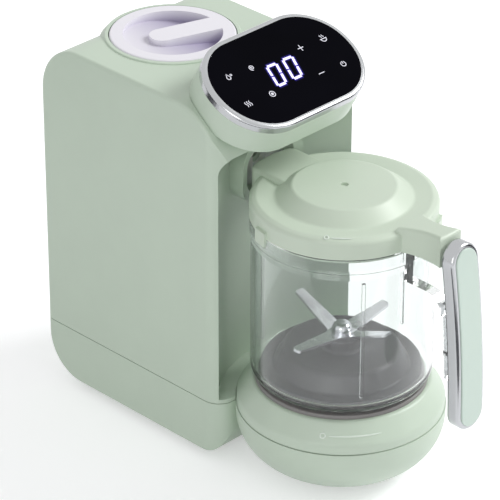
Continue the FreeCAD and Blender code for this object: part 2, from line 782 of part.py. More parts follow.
def dogs(low, high, first_angle):
    """Two opposite sectors that stand on a coupling's disc."""
    made = []
    for angle in (first_angle, first_angle + 180):
        sector = Part.makeCylinder(COUPLING_R, high - low, V(0, 0, low), UP, DOG_ANGLE)
        sector.rotate(V(0, 0, 0), UP, angle - DOG_ANGLE / 2)
        made.append(sector.cut(rod(DOG_IN_R, low - 1, high + 1)))
    return made


def make_drive_coupling():
    """Lower half of the coupling, pressed on the spindle."""
    disc = ring(COUPLING_R, SPINDLE_R + RUN, COUPLING_LOW, DRIVE_DISC_TOP)
    return fused([disc] + dogs(DRIVE_DISC_TOP - SNUG, DRIVE_DISC_TOP + DOG_H, 0))


def make_spindle():
    """Upright steel shaft from the belt pulley to the coupling."""
    return rod(SPINDLE_R, BELT_LOW - GAP - PULLEY_FLANGE_H - 1, DRIVE_DISC_TOP)


def make_spindle_bushes():
    """Two sintered bushes pressed into the cover's hub."""
    low = ring(SPINDLE_BUSH_R, SPINDLE_R + RUN, SPINDLE_HUB_LOW, SPINDLE_HUB_LOW + SPINDLE_BUSH_H)
    high = ring(SPINDLE_BUSH_R, SPINDLE_R + RUN, STEP_Z - SPINDLE_BUSH_H, STEP_Z)
    return [low, high]


def make_motor_bracket():
    """Steel plate on the tray's posts that carries the motor."""
    corners = rounded_box(BRACKET_HALF_X, MOTOR_Y - BRACKET_HALF_Y, MOTOR_Y + BRACKET_HALF_Y,
                          BRACKET_SCREW_INSET)
    plate = prism_z(corners, BRACKET_LOW, MOTOR_LOW)
    holes = [rod(SCREW_R + HEAD_ROOM, BRACKET_LOW - 1, MOTOR_LOW + 1, x, y)
             for x, y in bracket_screw_places()]
    holes.append(rod(3 * MOTOR_SHAFT_R, BRACKET_LOW - 1, MOTOR_LOW + 1, 0, MOTOR_Y))
    return plate.cut(holes[0].multiFuse(holes[1:]))


def make_bracket_screws():
    """Screws through the bracket into the tray's posts."""
    length = BRACKET_LOW - FOOT_H - WALL
    return [screw(V(x, y, MOTOR_LOW), -UP, length) for x, y in bracket_screw_places()]


def make_motor_can():
    """Drawn steel can with a bearing hole in its floor."""
    floor = MOTOR_LOW + 2 * MOTOR_CAN_T
    high = MOTOR_TOP - MOTOR_CAP_H
    inner = MOTOR_R - MOTOR_CAN_T
    bore = MOTOR_SHAFT_R + RUN
    return turned([(bore, MOTOR_LOW), (MOTOR_R, MOTOR_LOW), (MOTOR_R, high), (inner, high), (inner, floor),
                   (bore, floor)], MOTOR_Y)


def make_motor_end_cap():
    """Moulded end cap with the upper bearing."""
    return ring(MOTOR_R, MOTOR_SHAFT_R + RUN, MOTOR_TOP - MOTOR_CAP_H, MOTOR_TOP, 0, MOTOR_Y)


def armature_low():
    """Underside of the armature, which stands in the middle of the can."""
    return MOTOR_LOW + (MOTOR_H - MOTOR_CAP_H + 2 * MOTOR_CAN_T - ARMATURE_H) / 2


def make_motor_magnets():
    """Two curved magnets glued inside the can."""
    outer = MOTOR_R - MOTOR_CAN_T
    tube = ring(outer, outer - MAGNET_T, armature_low(), armature_low() + ARMATURE_H, 0, MOTOR_Y)
    slot = Part.makeBox(2 * MOTOR_R, MOTOR_R / 2, MOTOR_H, V(-MOTOR_R, MOTOR_Y - MOTOR_R / 4, MOTOR_LOW))
    return tube.cut(slot).Solids


def make_motor_armature():
    """Wound core on the motor's shaft."""
    radius = MOTOR_R - MOTOR_CAN_T - MAGNET_T - AIR_GAP
    return ring(radius, MOTOR_SHAFT_R, armature_low(), armature_low() + ARMATURE_H, 0, MOTOR_Y)


def make_motor_shaft():
    """Motor shaft from under its pulley to above the end cap."""
    return rod(MOTOR_SHAFT_R, BELT_LOW - GAP - PULLEY_FLANGE_H - 1, MOTOR_TOP + 2, 0, MOTOR_Y)


# Interlock

def pin_place():
    """Place of the interlock pin in plan."""
    return polar(INTERLOCK_R, INTERLOCK_ANGLE)


def pin_flange_top():
    """Upper face of the pin's flange, just under the platform."""
    return PLATFORM_Z - WALL - GAP


def make_interlock_pin():
    """Spring-loaded pin that the jug's foot would press."""
    x, y = pin_place()
    top = pin_flange_top()
    low = SWITCH_TOP + PIN_TRAVEL + GAP
    stem = rod(PIN_R, low, JUG_LOW - GAP, x, y)
    return fused([stem, rod(PIN_FLANGE_R, top - PIN_FLANGE_H, top, x, y)])


def make_interlock_spring():
    """Small spring between the switch and the pin's flange, as a thin sleeve."""
    x, y = pin_place()
    high = pin_flange_top() - PIN_FLANGE_H
    inner = PIN_R + GAP
    return ring(inner + 2 * SPRING_WIRE_R, inner, SWITCH_TOP, high, x, y)


def make_interlock_switch():
    """Small snap switch fixed to the wall under the platform."""
    x, y = pin_place()
    corner = V(x - SWITCH_L / 2, y - SWITCH_W / 2, SWITCH_TOP - SWITCH_H)
    return Part.makeBox(SWITCH_L, SWITCH_W, SWITCH_H, corner)


# Jug and handle

def handle_circle():
    """Centre (y, z) and radius of the handle's gently bowed outer face."""
    points = [V(0, y, z) for y, z in (HANDLE_TOP, HANDLE_MID, HANDLE_LOW)]
    curve = Part.Arc(*points).toShape().Curve
    return curve.Center, curve.Radius


def handle_drum(depth, half_width):
    """Wide cylinder whose skin lies at a depth behind the handle's outer face."""
    centre, radius = handle_circle()
    return Part.makeCylinder(radius - depth, 2 * half_width, V(-half_width, centre.y, centre.z), ACROSS)


def handle_layer(near, far, inset):
    """Part of the handle between two depths, with a stadium outline drawn in by an inset."""
    half = HANDLE_HALF_W - inset
    drum = handle_drum(near, 2 * HANDLE_HALF_W).cut(handle_drum(far, 3 * HANDLE_HALF_W))
    stadium = [(-half, HANDLE_LOW[1] + inset, half), (half, HANDLE_LOW[1] + inset, half),
               (half, HANDLE_TOP[1] - inset, half), (-half, HANDLE_TOP[1] - inset, half)]
    reach = HANDLE_LOW[0] - 4 * HANDLE_DEPTH
    return drum.common(prism_y(stadium, reach, HANDLE_TOP[0] + 4 * HANDLE_DEPTH)).Solids[0]


def make_handle_frame():
    """Plated frame of the handle with a pocket for the grip."""
    solid = handle_layer(0, HANDLE_DEPTH, 0)
    rims = [edge for edge in solid.Edges
            if edge.BoundBox.XLength > 1 or edge.BoundBox.ZLength > HANDLE_DEPTH]
    solid = solid.makeFillet(HANDLE_EDGE_R, rims)
    solid = solid.cut(handle_layer(-2 * GRIP_DEPTH, GRIP_DEPTH, GRIP_INSET))
    front = HANDLE_LOW[0] - HANDLE_DEPTH
    cuts = []
    for z in handle_screw_heights():
        start = V(0, front, z)
        cuts.append(Part.makeCylinder(SCREW_R + HEAD_ROOM, 4 * HANDLE_DEPTH, start, BACK))
        cuts.append(Part.makeCylinder(SCREW_HEAD_R + HEAD_ROOM, screw_seat(z) - front, start, BACK))
    return solid.cut(cuts[0].multiFuse(cuts[1:]))


def handle_face(z):
    """How far forward the handle's outer face stands at a height."""
    centre, radius = handle_circle()
    return centre.y - math.sqrt(radius ** 2 - (z - centre.z) ** 2)


def handle_screw_heights():
    """Two screws from the frame into the clear liner."""
    return (LINER_LOW + 2 * ARM_HALF_W, (ARM_LOW + JUG_BAND_TOP) / 2)


def screw_seat(z):
    """How far back the seat of a handle screw's head lies at a height."""
    return handle_face(z) + GRIP_DEPTH + SCREW_HEAD_H + GAP


def make_handle_grip():
    """Coloured inlay pressed into the frame, with a softly rounded face."""
    solid = handle_layer(-GRIP_PROUD, GRIP_DEPTH - SNUG, GRIP_INSET + SNUG)
    face_edges = []
    for edge in solid.Edges:
        middle = edge.CenterOfMass
        if middle.y < handle_face(middle.z) + GRIP_PROUD:
            face_edges.append(edge)
    return solid.makeFillet(GRIP_EDGE_R, face_edges)


def make_handle_screws():
    """Screws under the grip that hold the frame to the liner."""
    made = []
    for z in handle_screw_heights():
        made.append(screw(V(0, screw_seat(z), z), BACK, HANDLE_DEPTH))
    return made


def make_jug_body():
    """Clear jug: wall, raised floor with a hub, collar band, neck and the arm that carries the handle."""
    hub_in = JUG_HUB_R - JUG_FLOOR_T
    shell = turned([
        (JUG_FOOT_IN_R, JUG_LOW), (JUG_R, JUG_LOW, JUG_ROUND_R), (JUG_R, JUG_BAND_LOW),
        (JUG_BAND_R, JUG_BAND_LOW), (JUG_BAND_R, JUG_BAND_TOP), (JUG_NECK_R, JUG_BAND_TOP),
        (JUG_NECK_R, JUG_NECK_TOP, SOFT_EDGE_R), (NECK_IN_R, JUG_NECK_TOP, SOFT_EDGE_R),
        (NECK_IN_R, JUG_BAND_LOW),
        (JUG_IN_R, JUG_BAND_LOW - 2 * JUG_WALL), (JUG_IN_R, JUG_FLOOR, JUG_ROUND_R - JUG_WALL),
        (JUG_HUB_R, JUG_FLOOR), (hub_in - 1, JUG_HUB_TOP, HUB_EDGE_R), (BLADE_BUSH_R + SNUG, JUG_HUB_TOP),
        (BLADE_BUSH_R + SNUG, JUG_HUB_LOW), (hub_in - JUG_FLOOR_T, JUG_HUB_LOW)])
    ribs = []
    rib_low = JUG_FLOOR + JUG_ROUND_R
    rib_high = JUG_BAND_LOW - 3 * JUG_WALL
    for i in range(JUG_RIB_COUNT):
        angle = JUG_RIB_ANGLE + i * 360 / JUG_RIB_COUNT
        rib = Part.makeBox(JUG_RIB_D + JUG_WALL / 2, JUG_RIB_W, rib_high - rib_low,
                           V(JUG_IN_R - JUG_RIB_D, -JUG_RIB_W / 2, rib_low))
        rib.rotate(V(0, 0, 0), UP, angle)
        ribs.append(rib)
    holes = [Part.makeCylinder(SCREW_R + RUN, HANDLE_DEPTH, V(0, screw_seat(z), z), BACK)
             for z in handle_screw_heights()]
    return fused([shell, jug_arm()] + ribs).cut(Part.makeCompound(holes))


def jug_arm():
    """Clear arm from the jug's collar to the handle, turning down behind the frame as a liner."""
    top = JUG_BAND_TOP - GAP
    back = handle_drum(HANDLE_DEPTH + SNUG, ARM_HALF_W)
    front = handle_drum(HANDLE_DEPTH + SNUG + LINER_T, 2 * ARM_HALF_W)
    reach = handle_face(ARM_LOW) + HANDLE_DEPTH
    liner_box = Part.makeBox(2 * ARM_HALF_W, 4 * HANDLE_DEPTH, top - LINER_LOW,
                             V(-ARM_HALF_W, reach - 2 * HANDLE_DEPTH, LINER_LOW))
    liner = back.cut(front).common(liner_box)
    bridge = prism_x([(reach - HANDLE_DEPTH, ARM_LOW), (-JUG_R + JUG_WALL / 2, ARM_LOW),
                      (-JUG_R + JUG_WALL / 2, top), (reach - HANDLE_DEPTH, top)], ARM_HALF_W)
    inside = handle_face(ARM_LOW) + HANDLE_DEPTH + LINER_T
    scoop_y = inside + ARM_FINGER_R
    scoop_z = ARM_LOW - ARM_FINGER_R
    web = prism_x([(inside - LINER_T / 2, ARM_LOW + 1), (inside - LINER_T / 2, scoop_z), (scoop_y, scoop_z),
                   (scoop_y, ARM_LOW + 1)], ARM_HALF_W)
    scoop = Part.makeCylinder(ARM_FINGER_R, 4 * ARM_HALF_W, V(-2 * ARM_HALF_W, scoop_y, scoop_z), ACROSS)
    return fused([liner, bridge.common(back), web.common(back).cut(scoop)])


# Blade unit

def make_blade_base():
    """Dark floor plate with a raised hub and the boss of the blade's bearing."""
    low = JUG_FLOOR + BLADE_SEAL_T
    high = low + BLADE_BASE_T
    hub_low = JUG_HUB_TOP + BLADE_SEAL_T
    hub_high = hub_low + BLADE_BASE_T
    hub_r = JUG_HUB_R - JUG_FLOOR_T
    cone = JUG_HUB_R + BLADE_SEAL_T
    bore = BLADE_BUSH_R + SNUG
    return turned([
        (bore, hub_low), (hub_r, hub_low), (cone + SEAM, low), (BLADE_BASE_R, low),
        (BLADE_BASE_R, high, SOFT_EDGE_R), (cone + BLADE_BASE_T, high, HUB_EDGE_R),
        (hub_r, hub_high, 2 * HUB_EDGE_R), (BLADE_BOSS_R, hub_high, HUB_EDGE_R),
        (BLADE_BOSS_R, BLADE_BOSS_TOP, SOFT_EDGE_R), (bore, BLADE_BOSS_TOP)])


def make_blade_seal():
    """Flat gasket between the blade base and the jug's hub."""
    outer = JUG_HUB_R - 2 * JUG_FLOOR_T
    return ring(outer, BLADE_BUSH_R + GAP, JUG_HUB_TOP, JUG_HUB_TOP + BLADE_SEAL_T)


def make_blade_bush():
    """Sintered bush through jug and base that the blade's shaft runs in."""
    return ring(BLADE_BUSH_R, BLADE_SHAFT_R + RUN, JUG_HUB_LOW - NUT_H, BLADE_BOSS_TOP)


def make_base_nut():
    """Ring nut that clamps the blade base from below."""
    return ring(NUT_R, BLADE_BUSH_R + RUN, JUG_HUB_LOW - NUT_H, JUG_HUB_LOW)


def make_blade_shaft():
    """Steel shaft from the driven coupling to the blade's cap."""
    return rod(BLADE_SHAFT_R, DRIVEN_DISC_LOW, BLADE_BOSS_TOP + GAP + BLADE_T + BLADE_CAP_H - 1)


def make_driven_coupling():
    """Upper half of the coupling on the blade's shaft."""
    high = JUG_HUB_LOW - NUT_H - GAP
    disc = ring(COUPLING_R, BLADE_SHAFT_R + RUN, DRIVEN_DISC_LOW, high)
    return fused([disc] + dogs(DRIVE_DISC_TOP + GAP, DRIVEN_DISC_LOW + SNUG, 90))


def make_blade():
    """Four-wing blade: a flat hub with two wings bent well up and two bent slightly up."""
    low = BLADE_BOSS_TOP + GAP
    wings = [rod(BLADE_HUB_R, low, low + BLADE_T)]
    root = BLADE_HUB_R - BLADE_HUB_LAP
    half_root = BLADE_ROOT_W / 2
    half_tip = BLADE_TIP_W / 2
    for i, lift in enumerate((BLADE_RISE, BLADE_LOW_RISE, BLADE_RISE, BLADE_LOW_RISE)):
        wing = prism_z([(-half_root, 0), (half_root, 0), (half_tip, BLADE_REACH - root, BLADE_TIP_R),
                        (-half_tip, BLADE_REACH - root, BLADE_TIP_R / 2)], 0, BLADE_T)
        wing.rotate(V(0, 0, 0), ACROSS, lift)
        wing.translate(V(0, root, low))
        wing.rotate(V(0, 0, 0), UP, 90 * i)
        wings.append(wing)
    return fused(wings).cut(rod(BLADE_SHAFT_R + RUN, low - 1, low + BLADE_REACH))


def make_blade_cap():
    """Domed nut on top of the blade."""
    low = BLADE_BOSS_TOP + GAP + BLADE_T
    high = low + BLADE_CAP_H
    dome = turned([(0, low), (BLADE_CAP_R, low), (BLADE_CAP_R, high, BLADE_CAP_ROUND_R), (0, high)])
    return dome.cut(rod(BLADE_SHAFT_R + RUN, low, high - 1))


# Jug lid

def make_jug_lid():
    """Moulded lid with a raised disc, steam lobe at the rear, thumb tongue at the front and a plug."""
    skin = turned([
        (0, LID_TOP - LID_WALL), (LID_DISC_R - 1, LID_TOP - LID_WALL), (LID_TROUGH_R - 2, LID_UNDER),
        (LID_SKIRT_IN_R, LID_UNDER), (LID_SKIRT_IN_R, LID_LOW), (LID_R, LID_LOW),
        (LID_R, LID_EDGE_Z, LID_SOFT_R), (LID_RIDGE_R, LID_RIDGE_Z, LID_SOFT_R),
        (LID_TROUGH_R, LID_TROUGH_Z, LID_SOFT_R), (LID_DISC_R, LID_TOP, LID_SOFT_R), (0, LID_TOP)])
    plug = ring(LID_PLUG_R, LID_PLUG_R - LID_WALL, LID_PLUG_LOW, LID_UNDER + LID_WALL / 2)
    neck_room = rod(LID_SKIRT_IN_R, LID_LOW - 1, LID_UNDER)
    solid = fused([skin, plug, lid_lobe().cut(neck_room), lid_tongue().cut(neck_room)] + lid_tabs())
    groove_low = LID_PLUG_LOW + SEAL_GROOVE
    groove = ring(LID_PLUG_R + 1, LID_PLUG_R - SEAL_GROOVE, groove_low, groove_low + SEAL_H)
    bore = Part.makeCylinder(LOBE_BORE_R, LOBE_R, V(0, LID_PLUG_R - 2 * LID_WALL, LOBE_BORE_Z), BACK)
    dimple = rod(LID_DIMPLE_R, LID_TOP - LID_DIMPLE_DEPTH, LID_TOP + 1)
    return solid.cut(groove.multiFuse([bore, dimple]))


def lid_lobe():
    """Steam lobe: a block whose end is round about the jug's axis, with rounded corners and top edges."""
    corners = [(-LOBE_HALF_W, LID_DISC_R), (LOBE_HALF_W, LID_DISC_R), (LOBE_HALF_W, 2 * LOBE_R),
               (-LOBE_HALF_W, 2 * LOBE_R)]
    block = prism_z(corners, LID_LOW, LOBE_TOP).common(rod(LOBE_R, LID_LOW, LOBE_TOP))
    upright = [e for e in block.Edges if e.BoundBox.ZLength > 1 and e.BoundBox.YMin > LID_RIDGE_R]
    block = block.makeFillet(LOBE_CORNER_R, upright)
    top = [e for e in block.Edges if e.BoundBox.ZMin > LOBE_TOP - 0.01 and e.BoundBox.YMax > LID_DISC_R + 1]
    return block.makeFillet(LOBE_EDGE_R, top)


def lid_tongue():
    """Thumb tongue towards the handle, rising to its end, with hollow flanks."""
    root_y = -LID_RIDGE_R
    waist_y = -(LID_R + TONGUE_R) / 2
    side = [V(TONGUE_ROOT_HALF_W, root_y, LID_LOW), V(TONGUE_WAIST_HALF_W, waist_y, LID_LOW),
            V(TONGUE_END_HALF_W, -TONGUE_R - 2, LID_LOW)]
    other = [V(-p.x, p.y, p.z) for p in reversed(side)]
    edges = [Part.Arc(*side).toShape(), Part.LineSegment(side[2], other[0]).toShape(),
             Part.Arc(*other).toShape(), Part.LineSegment(other[2], side[0]).toShape()]
    block = Part.Face(Part.Wire(edges)).extrude(UP * (TONGUE_END_TOP - LID_LOW))
    block = block.common(rod(TONGUE_R, LID_LOW, TONGUE_END_TOP))
    slope = prism_x([(root_y, LID_LOW), (root_y, TONGUE_ROOT_TOP), (-TONGUE_R, TONGUE_END_TOP),
                     (-TONGUE_R, LID_LOW)], 2 * TONGUE_ROOT_HALF_W)
    block = block.common(slope)
    top = [e for e in block.Edges
           if e.BoundBox.ZMin > TONGUE_ROOT_TOP - 0.01 and e.BoundBox.YMin < root_y - 1]
    return block.makeFillet(TONGUE_EDGE_R, top)


def lid_tabs():
    """Short tabs under the lid's rim that lie outside the jug's collar band."""
    made = []
    inner = JUG_BAND_R + GAP
    low = LID_LOW - TAB_DROP
    high = LID_LOW + TAB_DROP
    span = math.degrees(TAB_W / LID_R)
    for angle in TAB_ANGLES:
        piece = Part.makeCylinder(inner + TAB_T, high - low, V(0, 0, low), UP, span)
        piece = piece.cut(rod(inner, low - 1, LID_LOW))
        piece = piece.cut(rod(LID_R - LID_WALL / 2, LID_LOW - 1, high + 1))
        piece.rotate(V(0, 0, 0), UP, angle - span / 2)
        made.append(piece)
    return made


def make_lid_seal():
    """Silicone ring in the plug's groove."""
    inner = LID_PLUG_R - SEAL_GROOVE + GAP
    low = LID_PLUG_LOW + SEAL_GROOVE + GAP
    high = low + SEAL_H - 2 * GAP
    outer = NECK_IN_R - GAP
    return turned([(inner, low), (outer, low, SOFT_EDGE_R), (outer, high, SOFT_EDGE_R), (inner, high)])


# Water tank

def make_tank_vessel():
    """Pressed steel cup with a screw flange and an outlet for the steam hose."""
    floor = TANK_LOW + TANK_WALL
    rim = TANK_RIM_Z - GAP
    cup = turned([(0, TANK_LOW), (TANK_R, TANK_LOW, TANK_CORNER_R), (TANK_R, rim), (TANK_IN_R, rim),
                  (TANK_IN_R, floor, TANK_CORNER_R - TANK_WALL), (0, floor)], TANK_Y)
    flange_top = TANK_FLANGE_Z + TANK_FLANGE_T
    flange = ring(TANK_FLANGE_R, TANK_R - TANK_WALL / 2, TANK_FLANGE_Z, flange_top, 0, TANK_Y)
    flange = flange.common(column_block(WALL + SNUG))
    start = TANK_Y - TANK_R
    root = V(0, start + TANK_WALL, TANK_SPIGOT_Z)
    spigot = Part.makeCylinder(SPIGOT_R, SPIGOT_L + TANK_WALL, root, -BACK)
    spigot = spigot.cut(rod(TANK_IN_R, TANK_LOW, TANK_RIM_Z, 0, TANK_Y))
    bore = Part.makeCylinder(SPIGOT_BORE_R, SPIGOT_L + 3 * TANK_WALL,
                             V(0, start + 2 * TANK_WALL, TANK_SPIGOT_Z), -BACK)
    solid = fused([cup, flange, spigot]).cut(bore)
    holes = [rod(SCREW_R + HEAD_ROOM, TANK_FLANGE_Z - 1, TANK_RIM_Z, x, y) for x, y in tank_screw_places()]
    return solid.cut(holes[0].multiFuse(holes[1:]))


def make_tank_screws():
    """Screws from below through the tank's flange into the column's bosses."""
    length = COL_TOP - WALL - TANK_FLANGE_Z - 2
    return [screw(V(x, y, TANK_FLANGE_Z), UP, length) for x, y in tank_screw_places()]


def make_heater_plate():
    """Aluminium plate under the tank that spreads the heat."""
    return rod(HEATER_R, TANK_LOW - HEATER_T, TANK_LOW, 0, TANK_Y)


def make_heating_element():
    """Sheathed heating element, an open ring cast to the plate's underside."""
    mid = TANK_LOW - HEATER_T - ELEMENT_R + GAP
    sweep = 360 - ELEMENT_OPENING
    body = Part.makeTorus(ELEMENT_RING_R, ELEMENT_R, V(0, TANK_Y, mid), UP, -180, 180, sweep)
    body.rotate(V(0, TANK_Y, 0), UP, 90 + ELEMENT_OPENING / 2)
    return body.cut(make_heater_plate())


def make_tank_thermostat():
    """Disc thermostat pressed to the heater plate."""
    high = TANK_LOW - HEATER_T
    cap = rod(THERMOSTAT_R, high - THERMOSTAT_H, high, 0, TANK_Y)
    pins = [Part.makeBox(LUG_W, LUG_T, LUG_L + 1, V(-LUG_W / 2, TANK_Y + sy * LUG_W - LUG_T / 2,
                                                    high - THERMOSTAT_H - LUG_L)) for sy in (-1, 1)]
    return fused([cap] + pins)


def dish_cutter():
    """Hollow round the tank lid's grip bar, deep at one side and running out shallow at the other."""
    top = COL_TOP + TANK_LID_RISE
    low = top - 2 * TANK_LID_DISH_DEEP
    area = rod(TANK_LID_DISH_R, low, top + 1)
    half = TANK_LID_BAR_HALF_W
    far = 2 * TANK_LID_R
    bar = prism_z([(TANK_LID_BAR_END, -half, TANK_LID_BAR_END_R), (far, -half), (far, half),
                   (TANK_LID_BAR_END, half, TANK_LID_BAR_END_R)], low - 1, top + 2)
    floor = Part.makeBox(4 * TANK_LID_R, 4 * TANK_LID_R, 4 * TANK_LID_DISH_DEEP,
                         V(-2 * TANK_LID_R, -2 * TANK_LID_R, 0))
    floor.rotate(V(0, 0, 0), BACK, TANK_LID_DISH_SLOPE)
    drop = TANK_LID_DISH_R * math.tan(math.radians(TANK_LID_DISH_SLOPE))
    floor.translate(V(0, 0, top - TANK_LID_DISH_DEEP + drop))
    cutter = area.cut(bar).common(floor)
    cutter.rotate(V(0, 0, 0), UP, TANK_LID_TURN)
    cutter.translate(V(0, TANK_Y, 0))
    return cutter


def make_tank_lid():
    """Screw-in style lid of the tank with a finger hollow round a grip bar."""
    top = COL_TOP + TANK_LID_RISE
    rim = TANK_RIM_Z
    plug_low = rim - TANK_LID_PLUG_H
    body = turned([(0, plug_low), (TANK_LID_PLUG_R, plug_low), (TANK_LID_PLUG_R, rim), (TANK_LID_R, rim),
                   (TANK_LID_R, top, TANK_LID_EDGE_R), (0, top)], TANK_Y)
    low = rim - TANK_LID_PLUG_H / 2 - SEAL_H / 2
    groove = ring(TANK_LID_PLUG_R + 1, TANK_LID_PLUG_R - SEAL_GROOVE, low, low + SEAL_H, 0, TANK_Y)
    return body.cut(dish_cutter()).cut(groove)


def make_tank_lid_seal():
    """Silicone ring in the tank lid's groove."""
    inner = TANK_LID_PLUG_R - SEAL_GROOVE + GAP
    low = TANK_RIM_Z - TANK_LID_PLUG_H / 2 - SEAL_H / 2 + GAP
    high = low + SEAL_H - 2 * GAP
    outer = TANK_IN_R - GAP
    return turned([(inner, low), (outer, low, SOFT_EDGE_R), (outer, high, SOFT_EDGE_R),
                   (inner, high)], TANK_Y)


# Steam port and hose

def make_steam_port():
    """Collar on the bay's wall that faces the lid's lobe, with a pocket and a hose spigot behind."""
    body = prism_y(port_outline(0), COL_FRONT, PORT_BACK_Y)
    body = body.cut(rod(PORT_FRONT_R, PORT_LOW - 1, PORT_TOP + 1))
    pocket = prism_y(port_outline(PORT_RIM), COL_FRONT, PORT_BACK_Y - PORT_BACK_T)
    spigot = Part.makeCylinder(SPIGOT_R, SPIGOT_L + 1, V(0, PORT_BACK_Y - 1, PORT_SPIGOT_Z), BACK)
    bore = Part.makeCylinder(SPIGOT_BORE_R, SPIGOT_L + 3 * PORT_BACK_T,
                             V(0, PORT_BACK_Y - 2 * PORT_BACK_T, PORT_SPIGOT_Z), BACK)
    return fused([body.cut(pocket), spigot]).cut(bore)


def make_steam_gasket():
    """Silicone pad in the port's pocket with a steam hole."""
    back = PORT_BACK_Y - PORT_BACK_T
    pad = prism_y(port_outline(PORT_RIM + SNUG), back - GASKET_T, back)
    hole = Part.makeCylinder(GASKET_BORE_R, 3 * GASKET_T, V(0, back - 2 * GASKET_T, PORT_SPIGOT_Z), BACK)
    return pad.cut(hole)


def make_steam_hose():
    """Silicone hose from the tank's outlet down to the port's spigot."""
    start = TANK_Y - TANK_R - SNUG
    end = PORT_BACK_Y + SNUG
    middle = (start + end) / 2
    points = [V(0, start, TANK_SPIGOT_Z), V(0, middle, TANK_SPIGOT_Z),
              V(0, middle, PORT_SPIGOT_Z), V(0, end, PORT_SPIGOT_Z)]
    bends = [HOSE_BEND_R, HOSE_BEND_R]
    outer, length = pipe(points, bends, SPIGOT_R + RUN + HOSE_WALL)
    inner, length = pipe(points, bends, SPIGOT_R + RUN)
    hose = outer.cut(inner)
    section = math.pi * ((SPIGOT_R + RUN + HOSE_WALL) ** 2 - (SPIGOT_R + RUN) ** 2)
    print("steam hose: volume over section times length", round(hose.Volume / (section * length), 4))
    return hose


# Control pod

def make_pod_shell():
    """Shallow tray of the control pod with posts for its board."""
    body = pod_prism(BEZEL_W, -POD_T, -BEZEL_H)
    body = body.cut(pod_prism(BEZEL_W - POD_WALL, -POD_T + POD_WALL, 0))
    posts = [pod_rod(BOSS_R / 2, su * BOARD_POST_U, sv * BOARD_POST_V, -POD_T + POD_WALL / 2,
                     -BOARD_DEPTH - BOARD_T) for su in (-1, 1) for sv in (-1, 1)]
    solid = fused([body] + posts)
    cuts = [pod_rod(WIRE_HOLE_R, 0, 0, -POD_T - 1, -POD_T + 2 * POD_WALL)]
    for u, v in pod_screw_places():
        cuts.append(pod_rod(SCREW_R + HEAD_ROOM, u, v, -POD_T - 1, -POD_T + 2 * POD_WALL))
    return solid.cut(cuts[0].multiFuse(cuts[1:]))


def make_pod_bezel():
    """Bright ring round the glass with a ledge that the glass is glued to."""
    body = pod_prism(BEZEL_W, -BEZEL_H + SNUG, BEZEL_PROUD)
    edges = [e for e in body.Edges if pod_height(e) > BEZEL_PROUD - 0.01]
    body = body.makeFillet(BEZEL_EDGE_R, edges)
    body = body.cut(pod_prism(SNUG, -GLASS_T - SNUG, POD_T))
    return body.cut(pod_prism(-BEZEL_LEDGE, -POD_T, POD_T))


def pod_height(edge):
    """Height of an edge's middle along the panel's normal."""
    rel = edge.CenterOfMass - V(0, POD_Y, POD_Z)
    tilt = math.radians(POD_TILT)
    return rel.z * math.cos(tilt) - rel.y * math.sin(tilt)


def make_touch_glass():
    """Black glass of the touch panel."""
    return pod_prism(0, -GLASS_T, 0)


def make_control_board():
    """Printed board behind the glass, on the pod's posts."""
    return pod_prism(-BOARD_INSET, -BOARD_DEPTH - BOARD_T, -BOARD_DEPTH)


def make_display_module():
    """Two-digit display between board and glass."""
    corners = rounded_box(DISPLAY_HALF_L, -DISPLAY_HALF_H, DISPLAY_HALF_H, SOFT_EDGE_R)
    return pod_place(prism_z(corners, -BOARD_DEPTH, -GLASS_T - SNUG))


def make_touch_springs():
    """Sensing springs under the touch keys, each as a plain sleeve."""
    made = []
    for u in KEY_COLUMNS:
        for v in KEY_ROWS:
            sleeve = ring(KEY_SPRING_R, KEY_SPRING_R - KEY_SPRING_T, -BOARD_DEPTH, -GLASS_T - SNUG, u, v)
            made.append(pod_place(sleeve))
    return made


def make_pod_screws():
    """Screws from inside the pod into the saddle's bosses."""
    made = []
    for u, v in pod_screw_places():
        made.append(pod_place(screw(V(u, v, -POD_T + POD_WALL), -UP, POD_SCREW_L)))
    return made


# Power board, wiring and gland

def make_power_board():
    """Printed board on standoffs at the column's rear wall."""
    board = Part.makeBox(2 * POWER_BOARD_HALF_W, BOARD_T, POWER_BOARD_H,
                         V(-POWER_BOARD_HALF_W, POWER_BOARD_FACE - BOARD_T, POWER_BOARD_LOW))
    start = POWER_BOARD_FACE - 2 * BOARD_T
    holes = [Part.makeCylinder(SCREW_R + HEAD_ROOM, 4 * BOARD_T, V(x, start, z), BACK)
             for x, z in power_post_places()]
    return board.cut(holes[0].multiFuse(holes[1:]))


def make_board_screws():
    """Screws that hold the power board to its standoffs."""
    seat = POWER_BOARD_FACE - BOARD_T
    return [screw(V(x, seat, z), BACK, POWER_BOARD_STAND) for x, z in power_post_places()]


def board_block(size, x, rise):
    """Box on the power board's face: size is (width, depth, height), placed by its lower left corner."""
    width, depth, height = size
    corner = V(x, POWER_BOARD_FACE - BOARD_T - depth, POWER_BOARD_LOW + rise)
    return Part.makeBox(width, depth, height, corner)


def make_board_parts():
    """Relay, capacitor and transformer soldered to the power board."""
    relay = board_block(RELAY_SIZE, *RELAY_PLACE)
    transformer = board_block(TRANSFORMER_SIZE, *TRANSFORMER_PLACE)
    foot = V(CAPACITOR_PLACE[0], POWER_BOARD_FACE - BOARD_T, POWER_BOARD_LOW + CAPACITOR_PLACE[1])
    return [relay, Part.makeCylinder(CAPACITOR_R, CAPACITOR_L, foot, -BACK), transformer]


